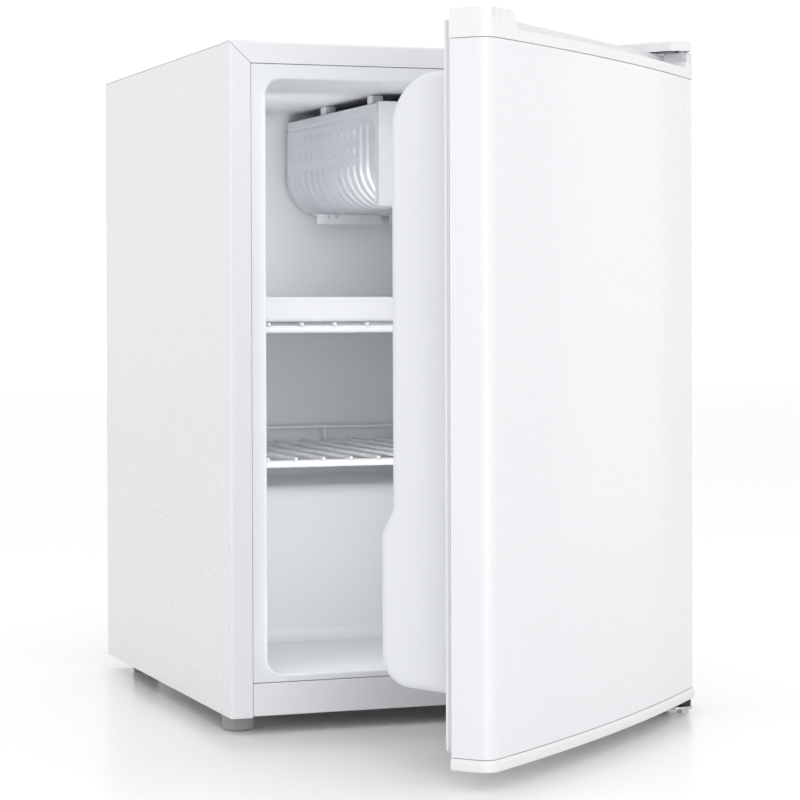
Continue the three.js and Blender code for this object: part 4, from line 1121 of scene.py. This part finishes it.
def pipes():
    """The copper pipes from and to the compressor, and the drier beside the coil."""
    x = COMPRESSOR_X
    suction = [(x + 45, 330, 135), (x + 62, 330, 150), (x + 80, 380, 155), (x + 90, 425, 157)]
    suction += [(x + 92, SUCTION_Y, z) for z in (180, 235, 452.5, 502.5)]
    suction += [(x + 92, 428, 527.5), (x + 92, 404.3, 532.5)]
    build("suction_pipe", tube(smooth_path(suction, 10), 3, 16), "suction_tube")
    left = COIL_SIDE
    y = COIL_Y
    discharge = [(x - 64.3, COMPRESSOR_Y, 78), (x - 76, COMPRESSOR_Y, 78),
                 (left + 10, COMPRESSOR_Y + 20, 88), (left, COMPRESSOR_Y + 60, 108),
                 (left, y, 130), (left, y, 169.7)]
    build("discharge_pipe", tube(smooth_path(discharge, 12), 2.4, 16), "discharge_tube")
    profile = [(radius, BASE_TOP + height) for radius, height in (
        (2, 40), (2, 49), (2.6, 51), (6.5, 56), (8, 60),
        (8, 116), (6.4, 121), (2.8, 125), (2.4, 127), (2.4, 136),
    )]
    build("drier", turned((CABINET_WIDTH - 120, y - 22, 0), profile, 48), "filter_drier")


def gland():
    """The grommet in the back panel, where a cord would leave."""
    back = CABINET_DEPTH - 1 + GAP
    x, z = CABINET_WIDTH - 62, BASE_TOP + 26
    section = [(4, back - 12), (6.6, back - 12), (7, back - 11.4), (7, back), (10, back), (10, back + 0.4),
               (9.6, back + 0.7), (4.6, back + 0.7), (4, back + 0.3)]
    angles = [2 * math.pi * j / 48 for j in range(48)]
    rings = [[(x + r * math.cos(t), y, z + r * math.sin(t)) for t in angles] for r, y in section]
    build("gland", loft(rings, around=True), "cord_gland")


def thermostat_knob():
    """The ribbed dial with its finger grip, on a shaft into the housing."""
    face = CAVITY_RIGHT - 36.6
    centre = (0, DIAL_Y, DIAL_Z)
    profile = [(15.6, face - 9), (16.4, face - 8.6), (17, face - 7.6), (17, face - 1), (16.6, face)]
    dial = turned(centre, profile, 180, "x", ribs=30, rib_depth=0.5)
    shaft = turned(centre, [(3, face - 1), (3, face + 10)], 24, "x")
    knob = mesh_object("knob", dial, CABINET)
    combined(knob, mesh_object("shaft", shaft, CABINET), "UNION")
    handle = block(face - 15, face - 8, DIAL_Y - 2.5, DIAL_Y + 2.5, DIAL_Z - 14, DIAL_Z + 14)
    grip = mesh_object("grip", handle, CABINET)
    modifier(grip, "BEVEL", width=0.0016, segments=3)
    applied(grip)
    combined(knob, grip, "UNION")
    creased(knob, 35)
    piece(knob, "temperature_dial", "thermostat_knob")


door_panel()
door_core()
door_top_cap()
door_bottom_cap()
door_lining()
door_seal()
cold_space()
wire_shelf("upper_shelf", UPPER_SHELF, 32.6)
wire_shelf("lower_shelf", LOWER_SHELF, 27.4)
drip_tray()
evaporator()
freezer_flap()
cabinet_filling()
front_foot(FRONT_FOOT_IN, "front_foot_left")
front_foot(CABINET_WIDTH - FRONT_FOOT_IN, "front_foot_right")
rear_foot(REAR_FOOT_IN, "rear_foot_left")
rear_foot(CABINET_WIDTH - REAR_FOOT_IN, "rear_foot_right")
hinge_cover()
hinge_pin()
hinge_bush()
compressor()
grommets()
condenser()
pipes()
gland()
thermostat_knob()

for node_name, node in nodes.items():
    if node.hide_render:
        continue
    without_own_normals(node.data)
    node.data.shade_smooth()
    modifier(node, "WELD", merge_threshold=2e-6)
    modifier(node, "DECIMATE", decimate_type="DISSOLVE", angle_limit=math.radians(0.5))
    bevelled(node, KEPT_BEVELS.get(node_name, PLAIN_BEVEL))
    finish(node, node_name)
